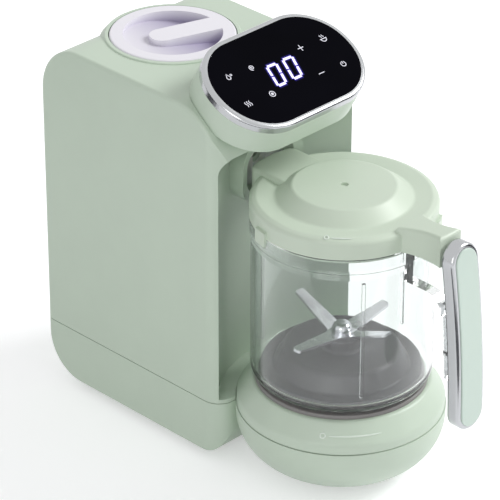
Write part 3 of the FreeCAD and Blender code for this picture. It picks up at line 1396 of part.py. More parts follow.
def make_wire_loom():
    """Bundle of wires from the power board up the side of the column and into the pod."""
    face = POWER_BOARD_FACE - BOARD_T
    side = COL_HALF_W - WALL - 2 * LOOM_R
    tilt = math.radians(POD_TILT)
    end_w = -BOARD_DEPTH - BOARD_T - SNUG
    end = V(0, POD_Y - end_w * math.sin(tilt), POD_Z + end_w * math.cos(tilt))
    entry = end + V(0, math.sin(tilt), -math.cos(tilt)) * (POD_T + WALL)
    points = [V(LOOM_START_X, face, LOOM_START_Z), V(LOOM_START_X, face - LOOM_STUB, LOOM_START_Z),
              V(side, face - LOOM_STUB, LOOM_RISE_Z), V(side, face - LOOM_STUB, LOOM_TURN_Z),
              V(side, LOOM_FRONT_Y, LOOM_TOP_Z), V(LOOM_START_X, PORT_BACK_Y, LOOM_TOP_Z), entry, end]
    bends = []
    for before, corner, after in zip(points, points[1:], points[2:]):
        shorter = min((before - corner).Length, (after - corner).Length)
        half_turn = (math.pi - (before - corner).getAngle(after - corner)) / 2
        bends.append(LOOM_BEND_SHARE * shorter / math.tan(half_turn))
    loom, length = pipe(points, bends, LOOM_R)
    section = math.pi * LOOM_R ** 2
    print("wire loom: bend radii", [round(bend, 1) for bend in bends])
    print("wire loom: volume over section times length", round(loom.Volume / (section * length), 4))
    return loom


def make_cord_gland():
    """Grooved plate in the rear wall's slot, shut in by the tray, with the hole for a mains lead."""
    face = COL_REAR - WALL
    start = face - GLAND_INNER_LIP
    low = PART_Z + SEAM / 2
    plate = prism_y(gland_outline(0, low), face, COL_REAR)
    inner = prism_y(gland_outline(GLAND_LIP_W, low), start, face)
    outer = prism_y(gland_outline(GLAND_LIP_W, low), COL_REAR, COL_REAR + GLAND_OUTER_LIP)
    length = GLAND_INNER_LIP + WALL + GLAND_OUTER_LIP
    bore = Part.makeCylinder(GLAND_BORE_R, 3 * length, V(GLAND_X, start - length, GLAND_Z), BACK)
    return fused([plate, inner, outer]).cut(bore)


PIECES = {
    "base_tray": make_base_tray,
    "column_shell": make_column_shell,
    "feet": make_feet,
    "tray_screws": make_tray_screws,
    "pedestal_cover": make_pedestal_cover,
    "cover_screws": make_cover_screws,
    "jug_seat_ring": make_jug_seat_ring,
    "spindle": make_spindle,
    "spindle_bushes": make_spindle_bushes,
    "spindle_pulley": lambda: pulley(SPINDLE_PULLEY_R, SPINDLE_R + RUN, 0),
    "drive_coupling": make_drive_coupling,
    "drive_belt": lambda: belt_loop(BELT_T).cut(belt_loop(0)),
    "motor_pulley": lambda: pulley(MOTOR_PULLEY_R, MOTOR_SHAFT_R + RUN, MOTOR_Y),
    "motor_bracket": make_motor_bracket,
    "bracket_screws": make_bracket_screws,
    "motor_can": make_motor_can,
    "motor_end_cap": make_motor_end_cap,
    "motor_magnets": make_motor_magnets,
    "motor_armature": make_motor_armature,
    "motor_shaft": make_motor_shaft,
    "interlock_pin": make_interlock_pin,
    "interlock_spring": make_interlock_spring,
    "interlock_switch": make_interlock_switch,
    "jug_body": make_jug_body,
    "handle_frame": make_handle_frame,
    "handle_grip": make_handle_grip,
    "handle_screws": make_handle_screws,
    "blade_base": make_blade_base,
    "blade_seal": make_blade_seal,
    "blade_bush": make_blade_bush,
    "base_nut": make_base_nut,
    "blade_shaft": make_blade_shaft,
    "driven_coupling": make_driven_coupling,
    "blade": make_blade,
    "blade_cap": make_blade_cap,
    "jug_lid": make_jug_lid,
    "lid_seal": make_lid_seal,
    "tank_vessel": make_tank_vessel,
    "tank_screws": make_tank_screws,
    "heater_plate": make_heater_plate,
    "heating_element": make_heating_element,
    "tank_thermostat": make_tank_thermostat,
    "tank_lid": make_tank_lid,
    "tank_lid_seal": make_tank_lid_seal,
    "steam_port": make_steam_port,
    "steam_gasket": make_steam_gasket,
    "steam_hose": make_steam_hose,
    "pod_shell": make_pod_shell,
    "pod_bezel": make_pod_bezel,
    "touch_glass": make_touch_glass,
    "control_board": make_control_board,
    "display_module": make_display_module,
    "touch_springs": make_touch_springs,
    "pod_screws": make_pod_screws,
    "power_board": make_power_board,
    "board_screws": make_board_screws,
    "board_parts": make_board_parts,
    "wire_loom": make_wire_loom,
    "cord_gland": make_cord_gland,
}

built = {name: make() for name, make in PIECES.items()}
built = {name: Part.makeCompound(s) if isinstance(s, list) else s for name, s in built.items()}
front_y = built["handle_grip"].optimalBoundingBox(True, False).YMin
rear_y = built["cord_gland"].optimalBoundingBox(True, False).YMax
shift = V(0, -(front_y + rear_y) / 2, 0)
print("jug axis at y =", round(shift.y, 4))
os.makedirs("parts", exist_ok=True)
for name, shape in built.items():
    shape.translate(shift)
    shape.exportStep("parts/" + name + ".step")
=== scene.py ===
"""Looks of a countertop baby food maker: sage column with tank and touch panel, clear jug on a pedestal."""
import math

import bpy
import numpy as np
from mathutils import Matrix, Vector


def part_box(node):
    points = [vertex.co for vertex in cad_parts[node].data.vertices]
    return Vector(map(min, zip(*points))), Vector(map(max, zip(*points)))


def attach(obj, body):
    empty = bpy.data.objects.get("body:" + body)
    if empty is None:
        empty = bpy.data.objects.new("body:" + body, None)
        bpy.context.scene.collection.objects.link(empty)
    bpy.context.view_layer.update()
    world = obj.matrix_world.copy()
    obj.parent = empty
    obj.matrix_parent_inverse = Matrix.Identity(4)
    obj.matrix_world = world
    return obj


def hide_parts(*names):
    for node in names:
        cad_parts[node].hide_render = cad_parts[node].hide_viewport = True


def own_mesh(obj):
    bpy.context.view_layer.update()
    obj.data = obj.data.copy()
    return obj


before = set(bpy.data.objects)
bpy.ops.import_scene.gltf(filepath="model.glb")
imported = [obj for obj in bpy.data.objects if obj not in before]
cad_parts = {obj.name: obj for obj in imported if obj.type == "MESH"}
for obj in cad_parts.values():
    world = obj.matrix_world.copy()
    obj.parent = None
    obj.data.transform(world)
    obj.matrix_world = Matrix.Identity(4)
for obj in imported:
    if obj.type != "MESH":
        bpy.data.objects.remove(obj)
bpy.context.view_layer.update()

# Base tray, pedestal cover and column shell: three sage-green ABS mouldings with a fine spark-eroded
# grain, screwed together from below. A hairline joint runs round them where tray and upper parts meet.
def pigment(red, green, blue):
    """Linear colour of an 8-bit colour: every channel over 255, taken through the sRGB curve."""
    share = np.array([red, green, blue]) / 255.0
    linear = np.where(share <= 0.04045, share / 12.92, ((share + 0.055) / 1.055) ** 2.4)
    return (*linear.tolist(), 1.0)


def add(tree, kind, **sockets):
    """One node of a finish, with its sockets set by name; an underscore stands for a space."""
    made = tree.nodes.new("ShaderNode" + kind)
    for key, value in sockets.items():
        made.inputs[key.replace("_", " ")].default_value = value
    return made


def start_finish(name, **sockets):
    """A new finish: its tree, its shader with constant sockets set, and the piece's own coordinates."""
    finish = bpy.data.materials.new(name)
    finish.use_nodes = True
    tree = finish.node_tree
    shader = tree.nodes["Principled BSDF"]
    for key, value in sockets.items():
        shader.inputs[key.replace("_", " ")].default_value = value
    place = add(tree, "TexCoord")
    return finish, tree, shader, place.outputs["Object"]


def clouds(tree, where, size):
    """Cloud noise on the piece's coordinates, size metres across, as a value that stays near a half."""
    noise = add(tree, "TexNoise", Scale=1.0 / size, Detail=3.0, Roughness=0.55)
    tree.links.new(where, noise.inputs["Vector"])
    return noise.outputs["Fac"]


cloud_thin, cloud_thick = 0.3, 0.7


def cloud_gloss(tree, shader, cloud, rough, spread):
    """Roughness that follows the clouds: rough less spread where thin, rough plus spread where thick."""
    span = add(tree, "MapRange", From_Min=cloud_thin, From_Max=cloud_thick,
               To_Min=rough - spread, To_Max=rough + spread)
    tree.links.new(cloud, span.inputs["Value"])
    tree.links.new(span.outputs["Result"], shader.inputs["Roughness"])


def mottle(tree, shader, where, colour, spread, size, rough, rough_spread):
    """Clouds that move the colour, by a share of itself, and the roughness a little up and down."""
    cloud = clouds(tree, where, size)
    ramp = add(tree, "ValToRGB")
    stops = ramp.color_ramp.elements
    for stop, at, share in zip(stops, (cloud_thin, cloud_thick), (1 - spread, 1 + spread)):
        stop.position = at
        stop.color = (*[min(1, c * share) for c in colour[:3]], 1)
    tree.links.new(cloud, ramp.inputs["Fac"])
    tree.links.new(ramp.outputs["Color"], shader.inputs["Base Color"])
    cloud_gloss(tree, shader, cloud, rough, rough_spread)


def grain(tree, shader, where, size, depth, stretch=(1, 1, 1)):
    """Bump of fine noise: bumps of the given size and depth in metres, stretched along the axes."""
    turn = add(tree, "Mapping", Scale=stretch)
    tree.links.new(where, turn.inputs["Vector"])
    noise = add(tree, "TexNoise", Scale=1.0 / size, Detail=2.0)
    tree.links.new(turn.outputs["Vector"], noise.inputs["Vector"])
    bump = add(tree, "Bump", Strength=1.0, Distance=depth)
    tree.links.new(noise.outputs["Fac"], bump.inputs["Height"])
    tree.links.new(bump.outputs["Normal"], shader.inputs["Normal"])


def moulded_plastic(name, colour, rough, grain_size, grain_depth, **sockets):
    """Moulded plastic: faint flow clouds in colour and roughness, and the mould's fine grain."""
    finish, tree, shader, where = start_finish(name, **sockets)
    mottle(tree, shader, where, colour, spread=0.015, size=0.03, rough=rough, rough_spread=0.05)
    grain(tree, shader, where, size=grain_size, depth=grain_depth)
    return finish


def dress(finish, *names):
    """Puts a finish into every material slot of the named CAD nodes."""
    for name in names:
        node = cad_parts[name]
        if not node.material_slots:
            node.data.materials.append(finish)
        for place in node.material_slots:
            place.material = finish


sage_plastic = moulded_plastic("sage_plastic", pigment(197, 212, 195),
                               rough=0.38, grain_size=0.0007, grain_depth=0.00002, IOR=1.5)
dress(sage_plastic, "base_tray", "column_shell", "pedestal_cover")

# Pedestal marks: a raised arc and a small ring moulded into the cone of the pedestal's cover, which show
# where the jug turns to. They are half-round beads of the same plastic, shown paler and glossier: the paler
# colour is a painted highlight along the beads.
jug_axis_y = sum(c[1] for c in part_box("jug_seat_ring")) / 2


def carry(path, side, rise, profile, closed=False, tube=False):
    """A profile carried along a path: vertex (i, j) = path i + side i * across j + rise i * up j.

    A closed path joins its last row to its first, and a tube joins its last column to its first."""
    path, side, rise, profile = (np.asarray(a, float) for a in (path, side, rise, profile))
    points = path[:, None] + side[:, None] * profile[None, :, :1] + rise[:, None] * profile[None, :, 1:]
    rows, columns = points.shape[:2]
    row = np.arange(rows if closed else rows - 1)[:, None] * columns
    after = (row + columns) % (rows * columns)
    column = np.arange(columns if tube else columns - 1)[None]
    beside = (column + 1) % columns
    quads = np.stack([row + column, after + column, after + beside, row + beside], -1).reshape(-1, 4)
    along = np.repeat(np.linspace(0, 1, rows)[:, None], columns, 1)
    across = np.repeat(np.linspace(0, 1, columns)[None], rows, 0)
    return points.reshape(-1, 3), quads, np.stack([along, across], -1).reshape(-1, 2)


def make_piece(name, surfaces, finish, body):
    """One object from several carried surfaces, with smooth faces and a UV map, riding on a body."""
    counts = np.cumsum([0] + [len(s[0]) for s in surfaces])
    points = np.concatenate([s[0] for s in surfaces])
    quads = np.concatenate([s[1] + start for s, start in zip(surfaces, counts)])
    spread = np.concatenate([s[2] for s in surfaces])
    mesh = bpy.data.meshes.new(name)
    mesh.from_pydata(points.tolist(), [], quads.tolist())
    mesh.uv_layers.new(name="UVMap").data.foreach_set("uv", spread[quads.ravel()].ravel())
    mesh.polygons.foreach_set("use_smooth", np.ones(len(quads), bool))
    mesh.materials.append(finish)
    piece = bpy.data.objects.new(name, mesh)
    bpy.context.scene.collection.objects.link(piece)
    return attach(piece, body)


def half_round(half_width, height, steps=9):
    """Profile of a bead: half an ellipse from one foot to the other, as (across, up)."""
    turn = np.linspace(math.pi, 0, steps)
    return np.stack([half_width * np.cos(turn), height * np.sin(turn)], -1)


def arc_bead(from_deg, to_deg, radius, z, lean, half_width, height, steps=40):
    """Bead along an arc about the jug's axis, on a cone whose surface normal leans lean degrees up from flat.

    The bead narrows to almost nothing at both ends: its size follows the fourth root of half a sine wave."""
    angle = np.radians(np.linspace(from_deg, to_deg, steps))
    flat = np.stack([np.cos(angle), np.sin(angle), 0 * angle], -1)
    up = np.array([0, 0, 1.0])
    path = flat * radius + np.array([0, jug_axis_y, z])
    rise = flat * math.cos(math.radians(lean)) + up * math.sin(math.radians(lean))
    tangent = np.stack([-np.sin(angle), np.cos(angle), 0 * angle], -1)
    side = np.cross(rise, tangent)
    tip = 0.02
    fade = np.sin(np.linspace(tip, math.pi - tip, steps)) ** 0.25
    return carry(path, side * fade[:, None], rise * fade[:, None], half_round(half_width, height))


def ring_bead(at_deg, radius, z, lean, ring_radius, half_width, height, steps=28):
    """Small ring bead on the same cone: a circle in the plane of the surface, carried as a half round."""
    angle = math.radians(at_deg)
    flat = np.array([math.cos(angle), math.sin(angle), 0])
    up = np.array([0, 0, 1.0])
    normal = flat * math.cos(math.radians(lean)) + up * math.sin(math.radians(lean))
    level = np.array([-math.sin(angle), math.cos(angle), 0])
    slope = np.cross(normal, level)
    turn = np.linspace(0, 2 * math.pi, steps, endpoint=False)[:, None]
    middle = flat * radius + np.array([0, jug_axis_y, z])
    path = middle + ring_radius * (level * np.cos(turn) + slope * np.sin(turn))
    tangent = level * -np.sin(turn) + slope * np.cos(turn)
    rise = np.repeat(normal[None], steps, 0)
    return carry(path, np.cross(rise, tangent), rise, half_round(half_width, height, steps=7), closed=True)


# Painted highlight: the beads' sage is paler than the housing's, standing in for light caught on their crests.
sage_painted_highlight = moulded_plastic("sage_painted_highlight", pigment(222, 233, 222),
                                rough=0.25, grain_size=0.0009, grain_depth=0.000005, IOR=1.5)
front_left = 222.8
cone_place = {"radius": 0.0598, "z": 0.0528, "lean": 36.6}
pedestal_marks = make_piece("pedestal_marks", [
    arc_bead(front_left - 6.5, front_left + 24, **cone_place, half_width=0.0006, height=0.0006),
    ring_bead(front_left - 10, **cone_place, ring_radius=0.0015, half_width=0.0005, height=0.0005),
], sage_painted_highlight, "housing")

# Feet: five soft thermoplastic-rubber pads pressed into the tray's underside by their stems. The rubber is
# dull and picks up a little dust.
def soft_rubber(name, colour, rough, **sockets):
    """Rubber: dusty clouds a centimetre across and a slightly pebbled skin."""
    finish, tree, shader, where = start_finish(name, **sockets)
    mottle(tree, shader, where, colour, spread=0.08, size=0.01, rough=rough, rough_spread=0.08)
    grain(tree, shader, where, size=0.0004, depth=0.00002)
    return finish


dress(soft_rubber("feet_rubber", pigment(178, 190, 176), rough=0.75), "feet")

# Drive under the jug: steel spindle in sintered bushes, belt with two pulleys, and a brushed motor hung from
# a folded bracket. The screws are zinc-plated steel.
def drawn_steel(name, colour, rough, stretch, **sockets):
    """Steel: a satin made by long fine scratches, noise squeezed across the drawing direction."""
    finish, tree, shader, where = start_finish(name, Metallic=1.0, **sockets)
    mottle(tree, shader, where, colour, spread=0.05, size=0.008, rough=rough, rough_spread=0.08)
    grain(tree, shader, where, size=0.0006, depth=0.00001, stretch=stretch)
    return finish


plated_steel = drawn_steel("plated_steel", pigment(206, 206, 208), rough=0.3, stretch=(1, 1, 0.1))
dress(plated_steel, "tray_screws", "cover_screws", "bracket_screws", "tank_screws", "handle_screws",
      "pod_screws", "board_screws", "spindle", "motor_shaft", "motor_can", "motor_bracket",
      "interlock_spring", "touch_springs")


def speckled_metal(name, colour, rough, size, **sockets):
    """Sintered or cast metal: small cells of lighter and darker grain with open pores."""
    finish, tree, shader, where = start_finish(name, Metallic=1.0, **sockets)
    mottle(tree, shader, where, colour, spread=0.18, size=size, rough=rough, rough_spread=0.1)
    grain(tree, shader, where, size=size, depth=size / 20)
    return finish


bush_bronze = speckled_metal("bush_bronze", pigment(184, 150, 104), rough=0.45, size=0.0008)
dress(bush_bronze, "spindle_bushes", "blade_bush")
armature_iron = speckled_metal("armature_iron", pigment(104, 98, 94), rough=0.55, size=0.0012)
dress(armature_iron, "motor_armature", "motor_magnets")
heater_casting = speckled_metal("heater_casting", pigment(196, 196, 200), rough=0.4, size=0.0015)
dress(heater_casting, "heater_plate")
dress(soft_rubber("belt_rubber", pigment(38, 38, 38), rough=0.7), "drive_belt")
dark_plastic = moulded_plastic("dark_plastic", pigment(62, 62, 66),
                               rough=0.5, grain_size=0.0005, grain_depth=0.00002)
dress(dark_plastic, "spindle_pulley", "motor_pulley", "motor_end_cap", "interlock_switch", "interlock_pin",
      "drive_coupling", "driven_coupling", "base_nut")
seat_ring_grey = moulded_plastic("seat_ring_grey", pigment(132, 129, 128),
                                 rough=0.45, grain_size=0.0005, grain_depth=0.00001)
dress(seat_ring_grey, "jug_seat_ring")

# Interlock spring: a small coil of spring wire between the switch and the flange of the pin, which closes
# up as the jug's foot presses the pin down. It stands in the place of a plain sleeve.
spring_low, spring_high = (np.array(corner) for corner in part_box("interlock_spring"))
spring_wire = 0.00035
spring_turns = 4


def coil(low, high, wire, turns, steps=28, sides=10, tip=0.02):
    """Helix in a box: the angle grows evenly with the height, and the round wire is pinched at its ends."""
    share = np.linspace(0, 1, steps * turns + 1)
    angle = 2 * math.pi * turns * share
    out = np.stack([np.cos(angle), np.sin(angle), 0 * angle], -1)
    path = (low + high) / 2 + out * ((high[0] - low[0]) / 2 - wire)
    path[:, 2] = low[2] + wire + share * (high[2] - low[2] - 2 * wire)
    tangent = np.gradient(path, axis=0)
    tangent /= np.linalg.norm(tangent, axis=1)[:, None]
    width = np.ones((len(share), 1))
    width[[0, -1]] = tip
    turn = np.linspace(math.pi, -math.pi, sides, endpoint=False)
    section = wire * np.stack([np.cos(turn), np.sin(turn)], -1)
    return carry(path, np.cross(out, tangent) * width, out * width, section, tube=True)


interlock_coil = make_piece("interlock_coil", [coil(spring_low, spring_high, spring_wire, spring_turns)],
                            plated_steel, "housing")
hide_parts("interlock_spring")
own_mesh(interlock_coil)

# Water tank: a drawn stainless vessel hung from the column's top, with its cast heater plate, element and
# thermostat below. Its push-in lid is a pale lavender-white moulding with a grip bar across a dish. Down in the
# dish its colour darkens to a deeper lavender: painted shade of the hollow.
stainless = drawn_steel("stainless", pigment(214, 214, 216), rough=0.22, stretch=(1, 1, 0.05))
dress(stainless, "tank_vessel", "heating_element")
tank_lid_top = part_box("tank_lid")[1][2]
dish_depth = 0.009
cloud_lift = 0.0006
tank_lid_painted_shade, tree, shader, where = start_finish("tank_lid_painted_shade", IOR=1.5)
cloud = clouds(tree, where, size=0.03)
cloud_gloss(tree, shader, cloud, rough=0.36, spread=0.05)
grain(tree, shader, where, size=0.0009, depth=0.00001)
# Painted shade: the colour follows height, pale lavender-white at the rim, darker lavender on the dish floor.
height = add(tree, "SeparateXYZ")
tree.links.new(where, height.inputs["Vector"])
uneven = add(tree, "Math")
uneven.operation = "MULTIPLY_ADD"
uneven.inputs[1].default_value = cloud_lift
tree.links.new(cloud, uneven.inputs[0])
tree.links.new(height.outputs["Z"], uneven.inputs[2])
depth = add(tree, "MapRange", From_Min=tank_lid_top - dish_depth, From_Max=tank_lid_top - cloud_lift)
tree.links.new(uneven.outputs["Value"], depth.inputs["Value"])
# Dark end: painted shade on the dish's floor; light end: the lid's own pale colour.
shade = add(tree, "ValToRGB")
shade.color_ramp.elements[0].color = pigment(146, 136, 172)
shade.color_ramp.elements[1].color = pigment(236, 234, 241)
tree.links.new(depth.outputs["Result"], shade.inputs["Fac"])
tree.links.new(shade.outputs["Color"], shader.inputs["Base Color"])
dress(tank_lid_painted_shade, "tank_lid")
silicone = soft_rubber("silicone", pigment(224, 224, 220), rough=0.55, Subsurface_Weight=0.1)
dress(silicone, "tank_lid_seal", "lid_seal", "blade_seal", "steam_gasket", "steam_hose")

# Steam port: a sage moulded collar in the wall of the column's bay. The lobe of the jug's lid meets it, and the
# hose from the tank ends behind it.
dress(sage_plastic, "steam_port")

# Panel pod: a sage shell bolted through the column, a bright plated bezel, and one sheet of black glass with
# the display and eight touch keys behind it.
dress(sage_plastic, "pod_shell")


def bright_plating(name, colour, rough):
    """Decorative chrome on plastic: almost mirror, with a slight orange peel from the plastic below."""
    finish, tree, shader, where = start_finish(name, Metallic=1.0)
    mottle(tree, shader, where, colour, spread=0.02, size=0.02, rough=rough, rough_spread=0.03)
    grain(tree, shader, where, size=0.004, depth=0.000006)
    return finish


satin_chrome = bright_plating("satin_chrome", pigment(186, 188, 190), rough=0.18)
dress(satin_chrome, "pod_bezel")
panel_glass, tree, shader, where = start_finish("panel_glass", IOR=1.5, Specular_IOR_Level=0.02)
mottle(tree, shader, where, pigment(4, 4, 10), spread=0.2, size=0.05, rough=0.1, rough_spread=0.03)
grain(tree, shader, where, size=0.02, depth=0.000004)
dress(panel_glass, "touch_glass")

# Panel marks: a lit two-digit display and printed key symbols seen through the glass; the printed symbols glow
# faintly, which is painted light. Each stroke is a thin ribbon lying just on the glass; the digits have a soft
# blue bloom round them. Places on the glass, widths and lifts are in millimetres.
glass_tilt = math.radians(28)
glass_from_axis, glass_height = 0.0492, 0.2474
glass_middle = np.array([0, jug_axis_y + glass_from_axis, glass_height])
glass_up = np.array([0, math.cos(glass_tilt), math.sin(glass_tilt)])
glass_out = np.array([0, -math.sin(glass_tilt), math.cos(glass_tilt)])


def glass_stroke(u, v, width, lift, closed=False):
    """Flat ribbon on the glass along a line of (u, v) millimetres: two edges, half the width to each side."""
    u, v = np.asarray(u, float), np.asarray(v, float)
    glass_along = np.array([1.0, 0, 0])
    path = glass_middle + (u[:, None] * glass_along + v[:, None] * glass_up) / 1000 + glass_out * lift / 1000
    ahead, behind = np.roll(path, -1, 0), np.roll(path, 1, 0)
    if not closed:
        ahead[-1], behind[0] = path[-1], path[0]
    tangent = ahead - behind
    tangent /= np.linalg.norm(tangent, axis=1)[:, None]
    rise = np.repeat(glass_out[None], len(path), 0)
    edge = np.array([[-width / 2000, 0], [0, 0], [width / 2000, 0]])
    return carry(path, np.cross(rise, tangent), rise, edge, closed)


def round_stroke(u, v, radius, from_deg, to_deg, width, lift, steps=24):
    """Arc on the glass about (u, v): a ribbon along part of a circle, or a whole ring for 360 degrees."""
    whole = abs(to_deg - from_deg) >= 360
    turn = np.radians(np.linspace(from_deg, to_deg, steps, endpoint=not whole))
    return glass_stroke(u + radius * np.cos(turn), v + radius * np.sin(turn), width, lift, whole)


def zero_segments(corners, width, lift, gap):
    """Six segments of a zero: its four corners and the middles of its sides, each run shortened by a gap."""
    a, b, c, d = (np.array(p, float) for p in corners)
    right, left = (b + c) / 2, (a + d) / 2
    runs = [(a, b), (b, right), (right, c), (c, d), (d, left), (left, a)]
    made = []
    for p, q in runs:
        step = (q - p) / np.linalg.norm(q - p) * gap
        ends = np.stack([p + step, (p + q) / 2, q - step])
        made.append(glass_stroke(ends[:, 0], ends[:, 1], width, lift))
    return made


zeros = [[(-9.6, 6.4), (-2.2, 6.1), (-6.2, -7.9), (-12.7, -7.9)],
         [(3.7, 6.4), (11.1, 6.1), (7.1, -7.9), (0.2, -7.9)]]
digit_light, tree, shader, where = start_finish(
    "digit_light", Base_Color=pigment(210, 205, 255), Roughness=0.4, Emission_Strength=0.85)
cells = add(tree, "TexNoise", Scale=900.0, Detail=1.0)
tree.links.new(where, cells.inputs["Vector"])
ramp = add(tree, "ValToRGB")
ramp.color_ramp.elements[0].color = pigment(186, 178, 250)
ramp.color_ramp.elements[1].color = pigment(236, 232, 255)
tree.links.new(cells.outputs["Fac"], ramp.inputs["Fac"])
tree.links.new(ramp.outputs["Color"], shader.inputs["Emission Color"])
digits = [part for zero in zeros for part in zero_segments(zero, width=1.7, lift=0.10, gap=0.45)]
make_piece("display_digits", digits, digit_light, "housing")

digit_bloom, tree, shader, _ = start_finish(
    "digit_bloom", Base_Color=pigment(4, 4, 10), Roughness=0.1, Specular_IOR_Level=0.02, Emission_Strength=0.75)
strip = add(tree, "UVMap")
strip.uv_map = "UVMap"
split = add(tree, "SeparateXYZ")
tree.links.new(strip.outputs["UV"], split.inputs["Vector"])
ramp = add(tree, "ValToRGB")
ramp.color_ramp.interpolation = "EASE"
ramp.color_ramp.elements[0].color = (0, 0, 0, 1)
ramp.color_ramp.elements[1].color = (0, 0, 0, 1)
middle = ramp.color_ramp.elements.new(0.5)
middle.color = pigment(84, 76, 205)
tree.links.new(split.outputs["Y"], ramp.inputs["Fac"])
tree.links.new(ramp.outputs["Color"], shader.inputs["Emission Color"])
halo = [part for zero in zeros for part in zero_segments(zero, width=4.8, lift=0.05, gap=0.0)]
make_piece("display_bloom", halo, digit_bloom, "housing")

# Painted light: the printed symbols glow faintly, though they are only print.
mark_print_and_glow = moulded_plastic("mark_print_and_glow", pigment(205, 205, 215),
                             rough=0.5, grain_size=0.0004, grain_depth=0.00001,
                             Emission_Color=pigment(205, 205, 215), Emission_Strength=0.25)
stroke_width, fine_width = 0.55, 0.45
lift, crossing_lift = 0.08, 0.09
wave = np.linspace(0, 1, 20)
sway = np.sin(6.3 * wave)
reach, turn = 0.3 + 1.7 * wave, 11 * wave
plus = [glass_stroke([18.8, 21.1, 23.4], [8.8, 8.8, 8.8], stroke_width, lift),
        glass_stroke([21.1, 21.1, 21.1], [6.5, 8.8, 11.1], stroke_width, crossing_lift)]
minus = [glass_stroke([17.8, 20.1, 22.4], [-11.9, -11.9, -11.9], stroke_width, lift)]
power = [round_stroke(38.3, -12.4, 1.7, 120, 420, stroke_width, lift),
         glass_stroke([38.3, 38.3, 38.3], [-12.2, -11.3, -10.3], stroke_width, crossing_lift)]
warm_bowl = [round_stroke(40.0, 8.2, 2.0, 180, 360, stroke_width, lift),
             glass_stroke([37.4, 40.0, 42.6], [8.3, 8.3, 8.3], stroke_width, crossing_lift),
             glass_stroke(39.2 + 0.4 * sway, 9.3 + 1.9 * wave, fine_width, lift),
             glass_stroke(40.8 + 0.4 * sway, 9.3 + 1.9 * wave, fine_width, lift)]
spiral = [glass_stroke(-18.9 + reach * np.cos(turn), 10.1 + reach * np.sin(turn), stroke_width, lift)]
droplets = [round_stroke(-37.6, 10.2, 1.3, -225, 45, stroke_width, lift),
            glass_stroke([-38.5, -37.6, -36.7], [11.1, 13.0, 11.1], stroke_width, crossing_lift),
            round_stroke(-35.0, 11.3, 0.6, 0, 360, fine_width, lift)]
target = [round_stroke(-20.4, -10.9, 1.9, 0, 360, stroke_width, lift),
          round_stroke(-20.4, -10.9, 0.5, 0, 360, 2 * fine_width, lift)]
steam = [glass_stroke(-41.2 + 1.6 * k + 0.45 * sway, -12.2 + 3.8 * wave, stroke_width, lift) for k in range(3)]
symbols = plus + minus + power + warm_bowl + spiral + droplets + target + steam
make_piece("panel_symbols", symbols, mark_print_and_glow, "housing")

# Jug: a clear moulded copolyester beaker with a thick foot, upright ribs and a collar band. It is glossy and
# very slightly wavy inside, as such thick mouldings are.
clear_jug, tree, shader, where = start_finish(
    "clear_jug", IOR=1.42, Specular_IOR_Level=0.6, Transmission_Weight=0.955)
mottle(tree, shader, where, pigment(250, 253, 252), spread=0.005, size=0.04, rough=0.03, rough_spread=0.015)
grain(tree, shader, where, size=0.03, depth=0.00005)
dress(clear_jug, "jug_body")

# Handle: a bright plated frame screwed to the jug's arms, with a pale green moulded inlay set into its outer
# face.
dress(satin_chrome, "handle_frame")
grip_inlay = moulded_plastic("grip_inlay", pigment(201, 217, 207),
                             rough=0.32, grain_size=0.0006, grain_depth=0.00001, IOR=1.5)
dress(grip_inlay, "handle_grip")

# Blade unit: a dark coated base plate locked under the jug by a nut, with a steel shaft, a four-winged
# blade and its cap. The steel is ground and brushed.
blade_base_coat = moulded_plastic("blade_base_coat", pigment(78, 76, 79),
                                  rough=0.38, grain_size=0.0004, grain_depth=0.000001)
dress(blade_base_coat, "blade_base")
ground_steel = drawn_steel("ground_steel", pigment(216, 216, 220), rough=0.2, stretch=(0.08, 1, 1))
dress(ground_steel, "blade", "blade_shaft", "blade_cap")

# Jug lid: a sage moulding, a little warmer and lighter than the housing, with a raised disc, a steam lobe and a
# thumb tongue. Its lighter colour is painted light, as the lid stands in more light than the column. A raised
# ring and a short bar on its rim show the turning direction; their paler sage is a painted highlight.
# Painted light: the lid's sage is a little lighter than the housing's, for the stronger light on the lid.
lid_plastic = moulded_plastic("lid_plastic", pigment(202, 215, 198),
                              rough=0.4, grain_size=0.0007, grain_depth=0.00002, IOR=1.5)
dress(lid_plastic, "jug_lid")
rim_place = {"radius": 0.0530, "z": 0.1833, "lean": 66.3}
lid_marks = make_piece("lid_marks", [
    ring_bead(front_left - 11, **rim_place, ring_radius=0.0012, half_width=0.0004, height=0.0004),
    arc_bead(front_left - 8, front_left + 5, **rim_place, half_width=0.0005, height=0.0004),
], sage_painted_highlight, "lid")

# Electronics and wiring: green glass-fibre boards with their parts, a bundle of insulated leads, and the gland
# plate in the rear wall.
board_laminate, tree, shader, where = start_finish("board_laminate", IOR=1.5)
tracks = add(tree, "TexBrick", Scale=260.0, Mortar_Size=0.03)
tracks.inputs["Color1"].default_value = pigment(20, 92, 52)
tracks.inputs["Color2"].default_value = pigment(26, 104, 58)
tracks.inputs["Mortar"].default_value = pigment(60, 140, 84)
tree.links.new(where, tracks.inputs["Vector"])
tree.links.new(tracks.outputs["Color"], shader.inputs["Base Color"])
grain(tree, shader, where, size=0.0008, depth=0.00001)
dress(board_laminate, "control_board", "power_board")
component_plastic = moulded_plastic("component_plastic", pigment(48, 48, 52),
                                    rough=0.35, grain_size=0.0004, grain_depth=0.00001)
dress(component_plastic, "board_parts", "display_module", "tank_thermostat", "wire_loom", "cord_gland")

# Floor: a seamless white sweep under the object. It takes the soft shadow and is white to the camera and in
# reflections.
def rays_that_show(tree):
    """One for camera, mirror and see-through rays: the greatest of the three light-path flags."""
    path = add(tree, "LightPath")
    both = add(tree, "Math")
    both.operation = "MAXIMUM"
    tree.links.new(path.outputs["Is Camera Ray"], both.inputs[0])
    tree.links.new(path.outputs["Is Glossy Ray"], both.inputs[1])
    every = add(tree, "Math")
    every.operation = "MAXIMUM"
    tree.links.new(both.outputs[0], every.inputs[0])
    tree.links.new(path.outputs["Is Transmission Ray"], every.inputs[1])
    return every.outputs[0]


